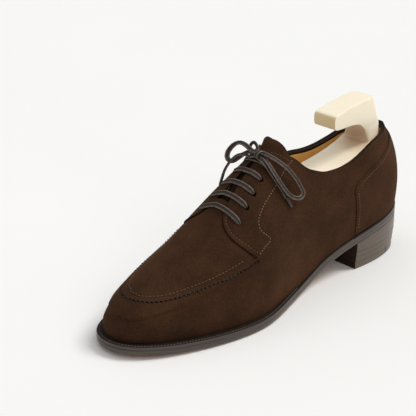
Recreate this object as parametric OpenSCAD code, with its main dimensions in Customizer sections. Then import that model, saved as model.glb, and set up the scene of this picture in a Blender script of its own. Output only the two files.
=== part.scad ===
// Men's plain derby shoe for the left foot, with an apron front, open lacing and a two-piece shoe tree.
// +X points to the toe, +Y to the outer side, +Z up. The origin is under the middle of the shoe,
// on the ground. Millimetres.

/* [Sole] */
// Thickness of the leather outsole
outsole_t = 4.3; // [3.5:0.1:4.4]
// Height of the welt's top face above the outsole's lower face
sole_edge_h = 7; // [6.8:0.1:8]
// Thickness of the insole
insole_t = 2.5; // [2:0.1:2.6]
// Thickness of the sock liner
sock_t = 0.8; // [0.5:0.1:0.9]

/* [Heel] */
// Distance of the heel's front face behind the origin
breast_x = 78; // [74:1:82]
// Thickness of the worn rubber and leather top piece
toplift_t = 6.5; // [5:0.5:8]
// Thickness of each leather heel lift
lift_t = 4.5; // [4:0.1:4.6]
// How far each heel lift is set in under the one above
lift_step = 0.6; // [0:0.1:0.8]
// Diameter of a heel nail
nail_d = 2; // [1.5:0.1:2.5]

/* [Upper] */
// Thickness of the suede
suede_t = 1.4; // [1:0.1:1.4]
// Height of the lacing flaps above the apron
flap_lift = 1.7; // [1.65:0.05:2]
// Diameter of a lace hole
eyelet_d = 3.4; // [3:0.1:4]

/* [Laces] */
// Width of the flat lace
lace_w = 3.4; // [2.8:0.1:3.4]
// Thickness of the flat lace
lace_t = 1.5; // [1.2:0.1:1.5]

/* [Shoe tree] */
// Gap between the tree and the lining
tree_gap = 0.9; // [0.6:0.1:2]
// Width of the handle
handle_w = 22; // [18:1:24]
// Running clearance of the sliding key
key_clear = 0.06; // [0.03:0.01:0.1]

/* [Hidden] */

// The last: stations run from the toe (0) along the outer side to the heel (11) and back along
// the inner side. Each is the feather edge's x and y, the ridge's x, the squareness of the wall's
// curve and how far the wall swells.
LAST = [
    [145, -4, 114, 2.5, 1], [141, 11, 112, 2.5, 1.5], [124, 25, 103, 2.4, 2], [98, 35, 86, 2.25, 2.5],
    [72, 42, 64, 2.15, 3], [40, 45.5, 38, 2.2, 3], [10, 36, 12, 2.3, 3.5], [-20, 29, -16, 2.5, 4],
    [-55, 28, -44, 2.7, 5], [-92, 31, -64, 2.35, 4.5], [-132, 26, -78, 1.9, 4], [-154.5, 0, -84, 1.85, 4],
    [-132, -26, -78, 1.9, 4], [-92, -30, -64, 2.35, 4.5], [-55, -26, -44, 2.7, 4], [-20, -25, -16, 2.5, 3],
    [12, -32, 12, 2.3, 2.5], [42, -41.5, 38, 2.2, 2.5], [70, -43, 64, 2.15, 2.5], [98, -37, 86, 2.25, 2.5],
    [124, -29, 103, 2.4, 2], [141, -18, 112, 2.5, 1.5]];
ROUND = len(LAST);
HEEL = ROUND / 2;
// Height of the outsole's lower face, height of the ridge, y of the ridge, and the welt's margin, along x
SOLE = [[-160, 33], [-115, 28], [-78, 22.5], [-45, 14], [-15, 3.5], [20, 0.45], [50, 0], [85, 0.6],
    [115, 1.6], [160, 4]];
RIDGE = [[-125, 143], [-104, 143], [-74, 140], [-46, 133], [-18, 122], [10, 106], [38, 84.5], [65, 64.5],
    [90, 52], [110, 43.5], [124, 38], [135, 33.5]];
CENTRE = [[-150, 0], [-60, 0], [40, 0], [90, -1.5], [135, -4]];
MARGIN = [[-160, 1.5], [-95, 2], [-60, 1.5], [-20, 2], [15, 4.5], [40, 5.5], [120, 6], [150, 5.3]];

// Seams and edges as places on the last: station, and share of the way up from the feather edge
SEAM = [[0, 0.745], [0.6, 0.74], [1.2, 0.68], [1.7, 0.61], [2.4, 0.53], [3, 0.49], [3.6, 0.46],
    [4.2, 0.425], [5, 0.37]];
FLAP_FRONT = [[5, 0.37], [4.84, 0.45], [4.72, 0.53], [4.62, 0.61], [4.56, 0.7], [4.57, 0.78], [4.64, 0.845],
    [4.78, 0.895]];
FLAP_GAP = [[4.78, 0.895], [5.1, 0.928], [5.45, 0.955], [5.8, 0.97], [6.3, 0.982], [6.48, 0.985]];
FLAP_TOP = [[6.48, 0.985], [6.6, 0.93], [6.66, 0.87], [6.74, 0.8], [6.86, 0.7], [6.96, 0.64]];
TOPLINE_OUT = [[6.96, 0.64], [7.16, 0.52], [7.38, 0.45], [7.66, 0.39], [7.92, 0.36], [8.22, 0.345],
    [8.54, 0.35], [8.92, 0.38], [9.4, 0.42], [10, 0.445], [10.5, 0.45], [11, 0.45]];
TOPLINE_IN = [[6.96, 0.64], [7.16, 0.52], [7.4, 0.44], [7.7, 0.38], [8.14, 0.335], [8.6, 0.3],
    [9, 0.3], [9.4, 0.33], [9.8, 0.38], [10.2, 0.42], [10.6, 0.445], [11, 0.45]];
FOXING = [[8.44, 0.2], [8.56, 0.225], [8.94, 0.265], [9.4, 0.31], [9.8, 0.355], [10.3, 0.4], [11, 0.425]];
EYELETS = [[4.9, 0.69], [5.24, 0.735], [5.56, 0.755], [5.9, 0.78], [6.22, 0.8]];
EYELETS_IN = [[4.76, 0.78], [5.12, 0.8], [5.47, 0.81], [5.83, 0.82], [6.18, 0.83]];

// Layers, as distances out from the last's surface
SUEDE = [-suede_t, 0];
OVERLAY = [0.3, 1.5];
STRIP = [1.7, 2.3];
STAY = [-2.5, -1.95];
TONGUE = [-3.9, -2.7];
STIFFENER = [-2.65, -1.95];
LINING = [-4.1, -3.1];
seam_gap = 0.006;
layer_gap = 0.05;
seat_gap = 0.2;

// Lace routes: from the knot, hand laid
LOOP_OUT = [[5.3, 8.6, 112.4], [5.4, 11.5, 110.9], [5.6, 16, 107.4], [5.2, 21, 102], [3.6, 25.5, 95.8],
    [1.6, 28.8, 90.4], [-1.4, 31.4, 86.2], [-6, 32.8, 83.6], [-10.5, 33, 83.4], [-13, 32.3, 86],
    [-12, 30.9, 90], [-9.5, 28.2, 96.6], [-5.4, 23.6, 104.4], [-0.4, 18, 110.4], [2.4, 13, 113.3],
    [4, 8.6, 114.8]];
LOOP_IN = [[5.5, -2.6, 114.2], [4.5, -7, 115], [3, -12, 115.6], [1.5, -17, 115.4], [0.8, -21.4, 114.6],
    [0.9, -25.4, 112.6], [2.2, -28.4, 109.6], [4.4, -29.8, 106], [6.4, -28.8, 102.6], [7.2, -25.6, 100.8],
    [6.8, -21.6, 101.6], [5.4, -17.6, 104.8], [4.4, -13, 108.6], [4.4, -7.5, 111.9], [4.8, -2.6, 112.8]];
TAIL_OUT = [[7.9, 8.6, 110.6], [7.5, 12.5, 108.2], [6.6, 17, 103.6], [4.7, 22.6, 96.2], [2.9, 26, 90.6],
    [1, 28.8, 84.6]];
TAIL_IN = [[8, -2.6, 110.4], [7.8, -7, 110.5], [7.8, -11.5, 109.8], [8.5, -16, 107.8], [10.5, -19.5, 104],
    [12.5, -22, 99.5], [14.3, -23.5, 95], [15.5, -24.2, 91]];
AGLET_L = 8;

// Smooth curve through points [a, b] with a rising, b read off at x
function slope(P, k) =
    k == 0 ? (P[1][1] - P[0][1]) / (P[1][0] - P[0][0]) :
    k == len(P) - 1 ? (P[k][1] - P[k - 1][1]) / (P[k][0] - P[k - 1][0]) :
    let (h0 = P[k][0] - P[k - 1][0], h1 = P[k + 1][0] - P[k][0])
    (h1 * (P[k][1] - P[k - 1][1]) / h0 + h0 * (P[k + 1][1] - P[k][1]) / h1) / (h0 + h1);
function read_off(P, x) =
    let (
        v = min(max(x, P[0][0]), P[len(P) - 1][0]),
        i = max([for (k = [0:len(P) - 2]) if (k == 0 || P[k][0] <= v) k]),
        h = P[i + 1][0] - P[i][0],
        u = (v - P[i][0]) / h
    )
    (2 * u ^ 3 - 3 * u ^ 2 + 1) * P[i][1] + (u ^ 3 - 2 * u ^ 2 + u) * h * slope(P, i)
    + (3 * u ^ 2 - 2 * u ^ 3) * P[i + 1][1] + (u ^ 3 - u ^ 2) * h * slope(P, i + 1);
// Point a share q of the way along a list of places, smoothly
function along(K, q) =
    let (
        u = q * (len(K) - 1),
        a = [for (k = [0:len(K) - 1]) [k, K[k][0]]],
        b = [for (k = [0:len(K) - 1]) [k, K[k][1]]]
    )
    [read_off(a, u), read_off(b, u)];
function smooth(x) =
    let (u = min(max(x, 0), 1))
    u * u * (3 - 2 * u);

// Uniform cubic spline round the last's stations
function station(s) =
    let (
        r = s - ROUND * floor(s / ROUND),
        i = floor(r),
        u = r - i,
        w = [(1 - u) ^ 3, 3 * u ^ 3 - 6 * u ^ 2 + 4, -3 * u ^ 3 + 3 * u ^ 2 + 3 * u + 1, u ^ 3] / 6
    )
    w[0] * LAST[(i + ROUND - 1) % ROUND] + w[1] * LAST[i] + w[2] * LAST[(i + 1) % ROUND]
    + w[3] * LAST[(i + 2) % ROUND];
// Unit vector pointing outwards in plan at station s
function outwards(s) =
    let (d = station(s + 0.001) - station(s - 0.001), l = norm([d[0], d[1]]))
    [d[1], -d[0]] / l;
function sole_z(x) = read_off(SOLE, x);
function welt_z(x) = sole_z(x) + sole_edge_h;
function ridge_z(x) = read_off(RIDGE, x);
// Point on the last: station s, share t of the way up
function last_at(s, t) =
    let (
        q = station(s),
        rx = (q[2] + station(ROUND - s)[2]) / 2,
        ry = read_off(CENTRE, rx),
        rise = t >= 1 ? 1 : sin(90 * t) ^ (2 / q[3]),
        in = t >= 1 ? 1 : 1 - cos(90 * t) ^ (2 / q[3]),
        swell = q[4] * sin(180 * min(1.15 * rise, 1)),
        n = outwards(s),
        x = q[0] + (rx - q[0]) * in + n[0] * swell,
        y = q[1] + (ry - q[1]) * in + n[1] * swell,
        zb = welt_z(q[0])
    )
    [x, y, zb + (ridge_z(x) - zb) * rise];
function normal_at(s, t) =
    let (
        e = 0.002,
        x = last_at(s, 1)[0],
        ridge_n = [ridge_z(x - 0.5) - ridge_z(x + 0.5), 0, 1],
        a = last_at(s + e, max(t, 0.0001)) - last_at(s - e, max(t, 0.0001)),
        b = last_at(s, min(t + e, 1)) - last_at(s, max(t - e, 0.0001)),
        n = t > 0.9995 ? ridge_n : cross(a, b)
    )
    n / norm(n);
// Point a distance out from the last's surface
function out_at(s, t, d) = last_at(s, t) + d * normal_at(s, t);
// Mirrored place on the inner side
function inner(p) = [ROUND - p[0], p[1]];

// Sheet between two grids of points: P is the outer face, Q the inner one.
// loop closes it round its rows; fold zips its first row shut at the middle.
module sheet(P, Q, loop = false, fold = false) {
    n = len(P);
    m = len(P[0]);
    pts = concat([for (r = P) for (p = r) p], [for (r = Q) for (p = r) p]);
    function at(i, j) =
        let (k = i % n)
        k * m + (fold && k == 0 && j > (m - 1) / 2 ? m - 1 - j : j);
    last_i = loop ? n - 1 : n - 2;
    faces = [
        for (i = [0:last_i]) for (j = [0:m - 2])
            let (a = at(i, j), b = at(i, j + 1), c = at(i + 1, j + 1), d = at(i + 1, j), k = n * m)
            each [[a, b, c], [a, c, d], [k + c, k + b, k + a], [k + d, k + c, k + a]],
        for (i = [0:last_i])
            let (a = at(i, 0), d = at(i + 1, 0), b = at(i, m - 1), c = at(i + 1, m - 1), k = n * m)
            each [[a, d, k + d], [a, k + d, k + a], [c, b, k + b], [c, k + b, k + c]],
        if (!loop)
            for (j = [0:m - 2])
                let (c = at(n - 1, j), d = at(n - 1, j + 1), k = n * m)
                each [[c, d, k + d], [c, k + d, k + c]],
        if (!loop && !fold)
            for (j = [0:m - 2])
                let (a = at(0, j), b = at(0, j + 1), k = n * m)
                each [[b, a, k + a], [b, k + a, k + b]]];
    polyhedron(pts, faces);
}
// Sheet on the last from a grid of places, between two layer distances
module skin(G, layer, loop = false) {
    sheet([for (r = G) [for (p = r) out_at(p[0], p[1], layer[1])]],
        [for (r = G) [for (p = r) out_at(p[0], p[1], layer[0])]], loop);
}
// Sheet that goes over the ridge from one side to the other, from station s0 to s1.
// rim is the list of lower edge places; the toe end is zipped when s0 is 0; the far end sinks by dip
// and turns up by flare where it is free of the flaps, less so on the outer side.
module saddle(rim, s0, s1, n, m, layer, dip = 0, flare = 0) {
    edge = [for (p = rim) [p[0], p[1]]];
    function row(s, d) = [for (j = [-m:m])
        let (
            t0 = read_off(edge, s),
            t = 1 - (1 - t0) * abs(j) / m,
            side = j > 0 ? ROUND - s : s,
            u = (1 - t) * (j > 0 ? 1 : -1),
            up = flare * (0.2 + smooth((u + 0.15) / 0.25)) * smooth((s - 5.5 - (2 - t)) / 0.3)
        )
        out_at(side, t, d + up - dip * smooth((s - 4.5) / 0.25))];
    sheet([for (i = [0:n]) row(s0 + (s1 - s0) * i / n, layer[1])],
        [for (i = [0:n]) row(s0 + (s1 - s0) * i / n, layer[0])], fold = s0 == 0);
}

// Ring of plan points round the shoe, a distance out from the feather edge
function plan_point(s, d) =
    let (q = station(s), n = outwards(s))
    [q[0] + n[0] * d, q[1] + n[1] * d];
function welt_margin(s) = read_off(MARGIN, station(s)[0]);
ring_n = 96;
function ring_s(k) = ROUND * k / ring_n;
// Flat solid across the whole shoe that follows the sole's curve between two heights.
// margin is added to the welt's own when edge is true.
module slab(margin, low, high, edge = false) {
    P = [for (k = [0:ring_n - 1])
        plan_point(ring_s(k), margin + (edge ? welt_margin(ring_s(k)) : 0))];
    function level(h) = [for (p = P) [p[0], p[1], sole_z(p[0]) + h]];
    pts = concat(level(low), level(high));
    half = ring_n / 2;
    faces = [
        for (k = [0:ring_n - 1])
            let (j = (k + 1) % ring_n)
            each [[k, k + ring_n, j + ring_n], [k, j + ring_n, j]],
        for (k = [0:half - 1])
            let (a = k, b = k + 1, c = (ring_n - k - 1) % ring_n, d = (ring_n - k) % ring_n)
            each [
                if (b != c) [a, b, c],
                if (a != d) [a, c, d],
                if (b != c) [c + ring_n, b + ring_n, a + ring_n],
                if (a != d) [d + ring_n, c + ring_n, a + ring_n]]];
    polyhedron(pts, faces);
}
// Strip round part of the shoe, between stations s0 and s1, following the sole's curve
module band(s0, s1, n, in, out, low, high, edge = true) {
    function pt(s, d, h) =
        let (p = plan_point(s, d))
        [p[0], p[1], sole_z(p[0]) + h];
    function far(s) = edge ? out + welt_margin(s) : out;
    sheet([for (i = [0:n]) let (s = s0 + (s1 - s0) * i / n) [pt(s, far(s), low), pt(s, far(s), high)]],
        [for (i = [0:n]) let (s = s0 + (s1 - s0) * i / n) [pt(s, in, low), pt(s, in, high)]]);
}

// Flat lace swept along its route, its broad face turned towards n
module lace(route, n, w = lace_w, t = lace_t, steps = 2) {
    N = len(route);
    function knot_at(k) = route[min(max(k, 0), N - 1)];
    function curve(q) =
        let (i = min(floor(q), N - 2), u = q - i, a = knot_at(i - 1), b = knot_at(i), c = knot_at(i + 1),
            d = knot_at(i + 2))
        b + u * (c - a) / 2 + u ^ 2 * (2 * a - 5 * b + 4 * c - d) / 2 + u ^ 3 * (3 * b - a - 3 * c + d) / 2;
    M = (N - 1) * steps;
    C = [for (k = [0:M]) curve(k / steps)];
    sides = 8;
    rings = [for (k = [0:M])
        let (
            tangent = C[min(k + 1, M)] - C[max(k - 1, 0)],
            across = cross(tangent, n),
            x = across / norm(across),
            up = cross(x, tangent),
            y = up / norm(up)
        )
        [for (j = [0:sides - 1]) C[k] + x * w / 2 * cos(360 * j / sides) + y * t / 2 * sin(360 * j / sides)]];
    pts = concat([for (r = rings) each r], [C[0], C[M]]);
    faces = [
        for (k = [0:M - 1]) for (j = [0:sides - 1])
            let (a = k * sides + j, b = k * sides + (j + 1) % sides)
            each [[a, b, b + sides], [a, b + sides, a + sides]],
        for (j = [0:sides - 1])
            each [[(j + 1) % sides, j, len(pts) - 2],
                [M * sides + j, M * sides + (j + 1) % sides, len(pts) - 1]]];
    polyhedron(pts, faces);
}

// Rise of the lacing flap above the apron: full over the apron, gone by the instep
function flap_rise(s, t) =
    let (q = s > HEEL ? ROUND - s : s)
    flap_lift * (1 - smooth((q - 5.1) / 1.1)) * smooth((t - 0.375) / 0.06);
// The side panel's columns, from the toe along the outer side to the heel
function column(q, low, high) =
    let (top = along(high, q), foot = along(low, q))
    [[foot[0], 0], foot, top];
function half_panel(topline, n) = concat(
    [for (i = [0:n]) let (p = along(SEAM, i / n)) [[p[0], 0], [p[0], p[1] * 0.55], p]],
    [for (i = [1:7]) column(i / 7, [[5.03, 0.36], [5.2, 0.35], [5.6, 0.34]], FLAP_FRONT)],
    [for (i = [1:5]) column(i / 5, [[5.6, 0.34], [6, 0.36], [6.3, 0.36]], FLAP_GAP)],
    [for (i = [1:5]) column(i / 5, [[6.3, 0.36], [6.6, 0.35], [6.9, 0.33]], FLAP_TOP)],
    [for (i = [1:22])
        let (p = along(topline, i / 22), foot = p[0] - 0.06 * (1 - i / 22))
        [[foot, 0], [foot, p[1] * 0.45], p]]);
function mirrored(H) = [for (i = [len(H) - 2:-1:1]) [for (p = H[i]) inner(p)]];
// Splits a column of three places into rows: three below its middle place and four above
function rungs(c) = concat(
    [for (j = [0:2]) c[0] + (c[1] - c[0]) * j / 3],
    [for (j = [0:4]) c[1] + (c[2] - c[1]) * j / 4]
);
function trim_seam(c) = [c[0], c[1], [c[2][0], c[2][1] - seam_gap]];

module outsole() color("#4a443e") slab(0, 0, outsole_t, edge = true);
module welt() color("#2a2522")
    band(-8.5, 8.5, 74, -3, 0, outsole_t + seat_gap, sole_edge_h - seat_gap);
module heel_rand() color("#1d1a18")
    band(8.54, ROUND - 8.54, 28, -3, 0, outsole_t + seat_gap, sole_edge_h - seat_gap);

// Plan outline of the heel, inset from the outsole
module heel_plan(inset) {
    intersection() {
        polygon([for (k = [0:ring_n - 1]) plan_point(ring_s(k), welt_margin(ring_s(k)) - inset)]);
        translate([-breast_x - 100, -50]) square([100, 100]);
    }
}
module nail_holes(d, low, high) {
    for (k = [0:8])
        let (s = 8.9 + (ROUND - 17.8) * k / 8, p = plan_point(s, -9))
        translate([p[0], p[1], low]) cylinder(d = d, h = high - low, $fn = 20);
}
lift_top = toplift_t + 3 * lift_t;
module heel_lift(k) {
    low = toplift_t + (k - 1) * lift_t + layer_gap;
    color("#6b6056") difference() {
        translate([0, 0, low]) linear_extrude(lift_t - layer_gap) heel_plan(lift_step * (3.5 - k));
        nail_holes(nail_d + 0.04, low - 1, low + lift_t + 1);
    }
}
module heel_wedge() color("#6b6056") intersection() {
    slab(0, -20, -layer_gap, edge = true);
    translate([-breast_x - 100, -50, lift_top + layer_gap]) cube([100, 100, 40]);
}
rubber_x = -118;
module toplift_plan(front) {
    intersection() {
        heel_plan(lift_step * 3.5);
        translate([front ? rubber_x + layer_gap : rubber_x - 100, -50]) square([100, 100]);
    }
}
module toplift(front) difference() {
    linear_extrude(toplift_t) toplift_plan(front);
    nail_holes(nail_d + 0.04, -1, toplift_t + 1);
}
module toplift_leather() color("#5a4a3c") toplift(true);
module toplift_rubber() color("#181716") toplift(false);
module heel_nails() color("#b8a888") nail_holes(nail_d, 0.3, lift_top - 1);

insole_low = sole_edge_h + 0.1;
insole_in = -4.8;
module insole() color("#b98a5a") slab(insole_in, insole_low, insole_low + insole_t);
module insole_rib() color("#d8cdb8")
    band(-8, 8, 56, insole_in - 0.1, -3.4, outsole_t + seat_gap, sole_edge_h - layer_gap, edge = false);
cork_front = 2;
module cork_filler() color("#b08450") difference() {
    slab(insole_in - 0.4, outsole_t + layer_gap, sole_edge_h);
    translate([cork_front - 104, -12, -10]) cube([104, 24, 60]);
}
// Spring steel strip along the waist, between the outsole and the insole
module shank() color("#8d9299") intersection() {
    slab(insole_in - 6, outsole_t + 0.3, outsole_t + 1.8);
    translate([-100, -7, -10]) cube([100, 14, 60]);
}
module sock_liner() color("#c08a45") intersection() {
    slab(insole_in - 0.6, insole_low + insole_t + layer_gap, insole_low + insole_t + sock_t);
    translate([-160, -50, -10]) cube([110, 100, 90]);
}

module lace_holes(d) {
    for (p = concat(EYELETS, [for (e = EYELETS_IN) inner(e)]))
        let (c = last_at(p[0], p[1]), n = normal_at(p[0], p[1]))
        translate(c - 3 * n) rotate([0, acos(n[2]), atan2(n[1], n[0])]) cylinder(d = d, h = 8, $fn = 20);
}
module side_panel() {
    outer = [for (c = half_panel(TOPLINE_OUT, 24)) rungs(trim_seam(c))];
    in = [for (c = mirrored(half_panel(TOPLINE_IN, 24))) rungs(trim_seam(c))];
    G = concat(outer, in);
    color("#4a3222") difference() {
        sheet([for (r = G) [for (p = r) out_at(p[0], p[1], SUEDE[1] + flap_rise(p[0], p[1]))]],
            [for (r = G) [for (p = r) out_at(p[0], p[1], SUEDE[0] + flap_rise(p[0], p[1]))]], loop = true);
        lace_holes(eyelet_d);
    }
}
// The apron's edge: the seam, then drawn back under the lacing flap
apron_edge = [[0, 0.745], [0.6, 0.74], [1.2, 0.68], [1.7, 0.61], [2.4, 0.53], [3, 0.49], [3.6, 0.46],
    [4.2, 0.425], [4.6, 0.405], [4.8, 0.413], [4.88, 0.43], [4.95, 0.48]];
APRON_RIM = [for (p = apron_edge) [p[0], p[1] + seam_gap]];
module apron() color("#4d3525") saddle(APRON_RIM, 0, 4.95, 22, 7, SUEDE, dip = 0.9);
module tongue() color("#452f20")
    saddle([[4.99, 0.7], [5.6, 0.64], [6.2, 0.62], [6.89, 0.66]], 4.99, 6.89, 10, 6, TONGUE, flare = 2.4);
module counter_foxing() {
    outer = [for (i = [0:18]) let (p = along(FOXING, i / 18)) [[8.56 + (HEEL - 8.56) * i / 18, 0.004], p]];
    in = [for (i = [17:-1:0]) [for (p = outer[i]) inner(p)]];
    G = [for (c = concat(outer, in)) [for (j = [0:7]) c[0] + (c[1] - c[0]) * j / 7]];
    color("#4a3222") skin(G, OVERLAY);
}
module back_strip() color("#4a3222")
    skin([for (i = [0:4]) [for (j = [0:10]) [10.8 + 0.1 * i, 0.006 + 0.434 * j / 10]]], STRIP);
module topline_binding() {
    outer = [for (i = [0:22]) along(TOPLINE_OUT, i / 22)];
    in = [for (i = [21:-1:0]) inner(along(TOPLINE_IN, i / 22))];
    color("#5c5048") skin([for (p = concat(outer, in)) [[p[0], p[1] + 0.004], [p[0], p[1] + 0.014]]],
        [LINING[0], SUEDE[1]]);
}
module vamp_lining() color("#c99650") saddle([[0, 0.004], [4.9, 0.004]], 0, 4.9, 20, 8, LINING);
LINING_FRONT = [[5, 0.5], [5.6, 0.56], [6.4, 0.57], [6.8, 0.59], [6.96, 0.63]];
module quarter_lining() {
    outer = concat([for (i = [0:8]) along(LINING_FRONT, i / 8)],
        [for (i = [1:16]) along(TOPLINE_OUT, i / 16)]);
    in = concat([for (i = [15:-1:1]) inner(along(TOPLINE_IN, i / 16))],
        [for (i = [8:-1:0]) inner(along(LINING_FRONT, i / 8))]);
    all = concat(outer, in);
    G = [for (p = all) [for (j = [0:6]) [p[0], 0.004 + (p[1] - 0.004) * j / 6]]];
    color("#c99650") skin(G, LINING);
}
module toe_puff() color("#cfc4ae") saddle([[0, 0.02], [2.2, 0.02]], 0, 2.2, 12, 10, STIFFENER);
module heel_counter() color("#cfc4ae")
    skin([for (i = [0:36]) [for (j = [0:6]) [8 + 6 * i / 36, 0.02 + 0.23 * j / 6]]], STIFFENER);
module facing_stays() color("#cfc4ae") difference() {
    for (side = [0, 1])
        skin([for (i = [0:6]) [for (j = [0:4])
            let (k = side == 0 ? i : 6 - i, p = [5.2 + 1.15 * k / 6, 0.64 + 0.28 * j / 4])
            side == 0 ? p : inner(p)]], STAY);
    lace_holes(eyelet_d);
}

bar_rise = 0.35 + lace_t / 2;
leg_h = 1.5;
module lace_legs(k) {
    for (side = [0, 1])
        let (
            e = side == 0 ? EYELETS[k] : inner(EYELETS_IN[k]),
            c = last_at(e[0], e[1]),
            n = normal_at(e[0], e[1])
        )
        translate(c + (flap_rise(e[0], e[1]) - leg_h) * n) rotate([0, acos(n[2]), atan2(n[1], n[0])])
            cylinder(d = eyelet_d - 0.8, h = leg_h + bar_rise, $fn = 16);
}
// Straight bar of lace from one flap to the other, with its ends going down through the holes
module lace_bar(k) {
    e = EYELETS[k];
    f = EYELETS_IN[k];
    mid = (e[0] + f[0]) / 2;
    function over(s, t) = out_at(s, t, flap_rise(min(s, ROUND - s), t) + bar_rise);
    function share(low, j) = low - 0.01 + (0.995 - low) * j / 5;
    n = normal_at(mid, 1);
    outer = [for (j = [0:5]) over(e[0] + (mid - e[0]) * j / 5, share(e[1], j))];
    inside = [for (j = [5:-1:0]) over(ROUND - f[0] - (mid - f[0]) * j / 5, share(f[1], j))];
    lace(concat(outer, inside), n, steps = 1);
    lace_legs(k);
}
module lace_bars() color("#5a504c") for (k = [0:3]) lace_bar(k);
module lace_knot() color("#5a504c") {
    lace_bar(4);
    translate([5, 3, 114]) hull() {
        for (y = [-3, 3]) for (x = [-2.2, 2.2])
            translate([x, y, 0]) sphere(r = 2.2, $fn = 12);
        translate([0, 0, 0.4]) sphere(r = 2.6, $fn = 12);
        translate([0.9, -1.5, -3.4]) sphere(r = 1.2, $fn = 12);
    }
}
module lace_loop_lateral() color("#5a504c") lace(LOOP_OUT, [0.2, 0.75, 0.6]);
module lace_loop_medial() color("#5a504c") lace(LOOP_IN, [0.1, -0.2, 1]);
module lace_tail_lateral() color("#5a504c") lace(TAIL_OUT, [0.2, 0.75, 0.6]);
module lace_tail_medial() color("#5a504c") lace(TAIL_IN, [0.3, -0.7, 0.6]);
module aglet(route) {
    a = route[len(route) - 2];
    b = route[len(route) - 1];
    d = (b - a) / norm(b - a);
    translate(b + layer_gap * d) rotate([0, acos(d[2]), atan2(d[1], d[0])])
        cylinder(d = 2.4, h = AGLET_L, $fn = 16);
}
module aglets() color("#2b2523") {
    aglet(TAIL_OUT);
    aglet(TAIL_IN);
}

// Shoe tree: the front part fills the shoe under the lacing and carries a T-shaped key,
// down which the heel part slides
tree_layer = LINING[0] - tree_gap;
bridge_low = 46;
bridge_high = 74;
key_neck_x = -40;
key_head_x = -46;
key_end_x = -50;
module vault(s1, n, m, low) {
    P = [for (i = [0:n]) [for (j = [-m:m])
        let (s = s1 * i / n, t = 1 - (1 - low) * abs(j) / m)
        out_at(j > 0 ? ROUND - s : s, t, tree_layer)]];
    w = 2 * m + 1;
    back = [for (j = [0:w - 1]) P[n][j]];
    mid = (back[0] + back[w - 1] + back[m]) / 3;
    function at(i, j) = i * w + (i == 0 && j > m ? w - 1 - j : j);
    faces = [
        for (i = [0:n - 1]) for (j = [0:w - 2])
            each [[at(i, j), at(i, j + 1), at(i + 1, j + 1)], [at(i, j), at(i + 1, j + 1), at(i + 1, j)]],
        for (i = [0:n - 1])
            each [[at(i, 0), at(i + 1, 0), at(i + 1, w - 1)],
                if (i > 0) [at(i, 0), at(i + 1, w - 1), at(i, w - 1)]],
        for (j = [0:w - 2]) [at(n, j), at(n, j + 1), (n + 1) * w],
        [at(n, w - 1), at(n, 0), (n + 1) * w]];
    polyhedron(concat([for (r = P) each r], [mid]), faces);
}
module tree_forepart() color("#efe3cc") union() {
    difference() {
        vault(6.5, 14, 7, 0.09);
        translate([-60, -60, 0]) cube([62, 120, 150]);
    }
    translate([key_neck_x + 0.1, -8, bridge_low]) cube([50, 16, bridge_high - bridge_low]);
    translate([key_head_x - 0.1, -3, bridge_low]) cube([10, 6, bridge_high - bridge_low]);
    translate([key_end_x + 0.1, -5, bridge_low]) cube([4, 10, bridge_high - bridge_low]);
}
// Side outlines of the heel part: the saddle, and the neck with the handle that reaches forward
saddle_side = [[-126, 46], [-128.1, 60], [-128.1, 88], [-124, 92], [-110, 96], [-106.5, 95], [-102, 92.8],
    [-92, 89.5], [-76, 86], [-58, 83.5], [-42, 82], [-40, 80], [-40, 40], [-60, 36], [-78, 37.5], [-112, 43]];
neck_side = [[-129, 80], [-129, 112], [-126, 120], [-122.5, 127.5], [-118, 131], [-108, 131], [-90, 129],
    [-72, 125.5], [-70, 123.5], [-70, 115], [-72.5, 113.5], [-94, 113], [-100, 111.5], [-105, 107],
    [-108, 100], [-109, 90], [-109, 80]];
neck_x = -108;
module side_plate(side, w) translate([0, w / 2, 0]) rotate([90, 0, 0]) linear_extrude(w) polygon(side);
module saddle_plan() hull() {
    translate([-112.5, 0]) circle(r = 14.8, $fn = 48);
    translate([-55, 0]) circle(r = 15, $fn = 48);
}
// Envelope of the neck and handle: round at the back and leaning forwards as it rises
module neck_envelope() hull() {
    translate([-115.6, 0, 70]) cylinder(r = 12.4, h = 38, $fn = 48);
    translate([-108.5, 0, 130]) cylinder(r = 12, h = 2, $fn = 48);
    translate([-72, -15, 70]) cube([3, 30, 62]);
}
// The neck widens below the handle until it is as wide as the saddle
module neck_flare() hull() {
    intersection() {
        translate([0, 0, 84]) linear_extrude(6) saddle_plan();
        translate([neck_x - 40, -20, 80]) cube([40, 40, 20]);
    }
    intersection() {
        translate([-115.6, 0, 107]) cylinder(r = 12.4, h = 1, $fn = 48);
        translate([neck_x - 40, -handle_w / 2, 100]) cube([40, handle_w, 20]);
    }
}
module tree_heel() color("#efe3cc") difference() {
    union() {
        intersection() {
            side_plate(saddle_side, 60);
            linear_extrude(104) saddle_plan();
        }
        intersection() {
            side_plate(neck_side, handle_w);
            neck_envelope();
        }
        neck_flare();
    }
    translate([key_head_x - 0.1, -3 - key_clear, 0])
        cube([20, 6 + 2 * key_clear, bridge_high + key_clear]);
    translate([key_end_x, -5 - key_clear, 0])
        cube([4.1, 10 + 2 * key_clear, bridge_high + key_clear]);
}

outsole();
welt();
heel_rand();
heel_wedge();
heel_lift(1);  // heel_lift_1
heel_lift(2);  // heel_lift_2
heel_lift(3);  // heel_lift_3
toplift_leather();
toplift_rubber();
heel_nails();
insole();
insole_rib();
cork_filler();
shank();
sock_liner();
side_panel();
apron();
counter_foxing();
back_strip();
tongue();
topline_binding();
vamp_lining();
quarter_lining();
toe_puff();
heel_counter();
facing_stays();
lace_bars();
lace_knot();
lace_loop_lateral();
lace_loop_medial();
lace_tail_lateral();
lace_tail_medial();
aglets();
tree_forepart();
tree_heel();
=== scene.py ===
"""Looks of the left derby shoe: suede upper, waxed laces, welted sole, stacked heel and cream shoe tree."""
import math

import bmesh
import bpy
import numpy as np
from mathutils import Matrix, Vector
from mathutils.kdtree import KDTree


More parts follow.
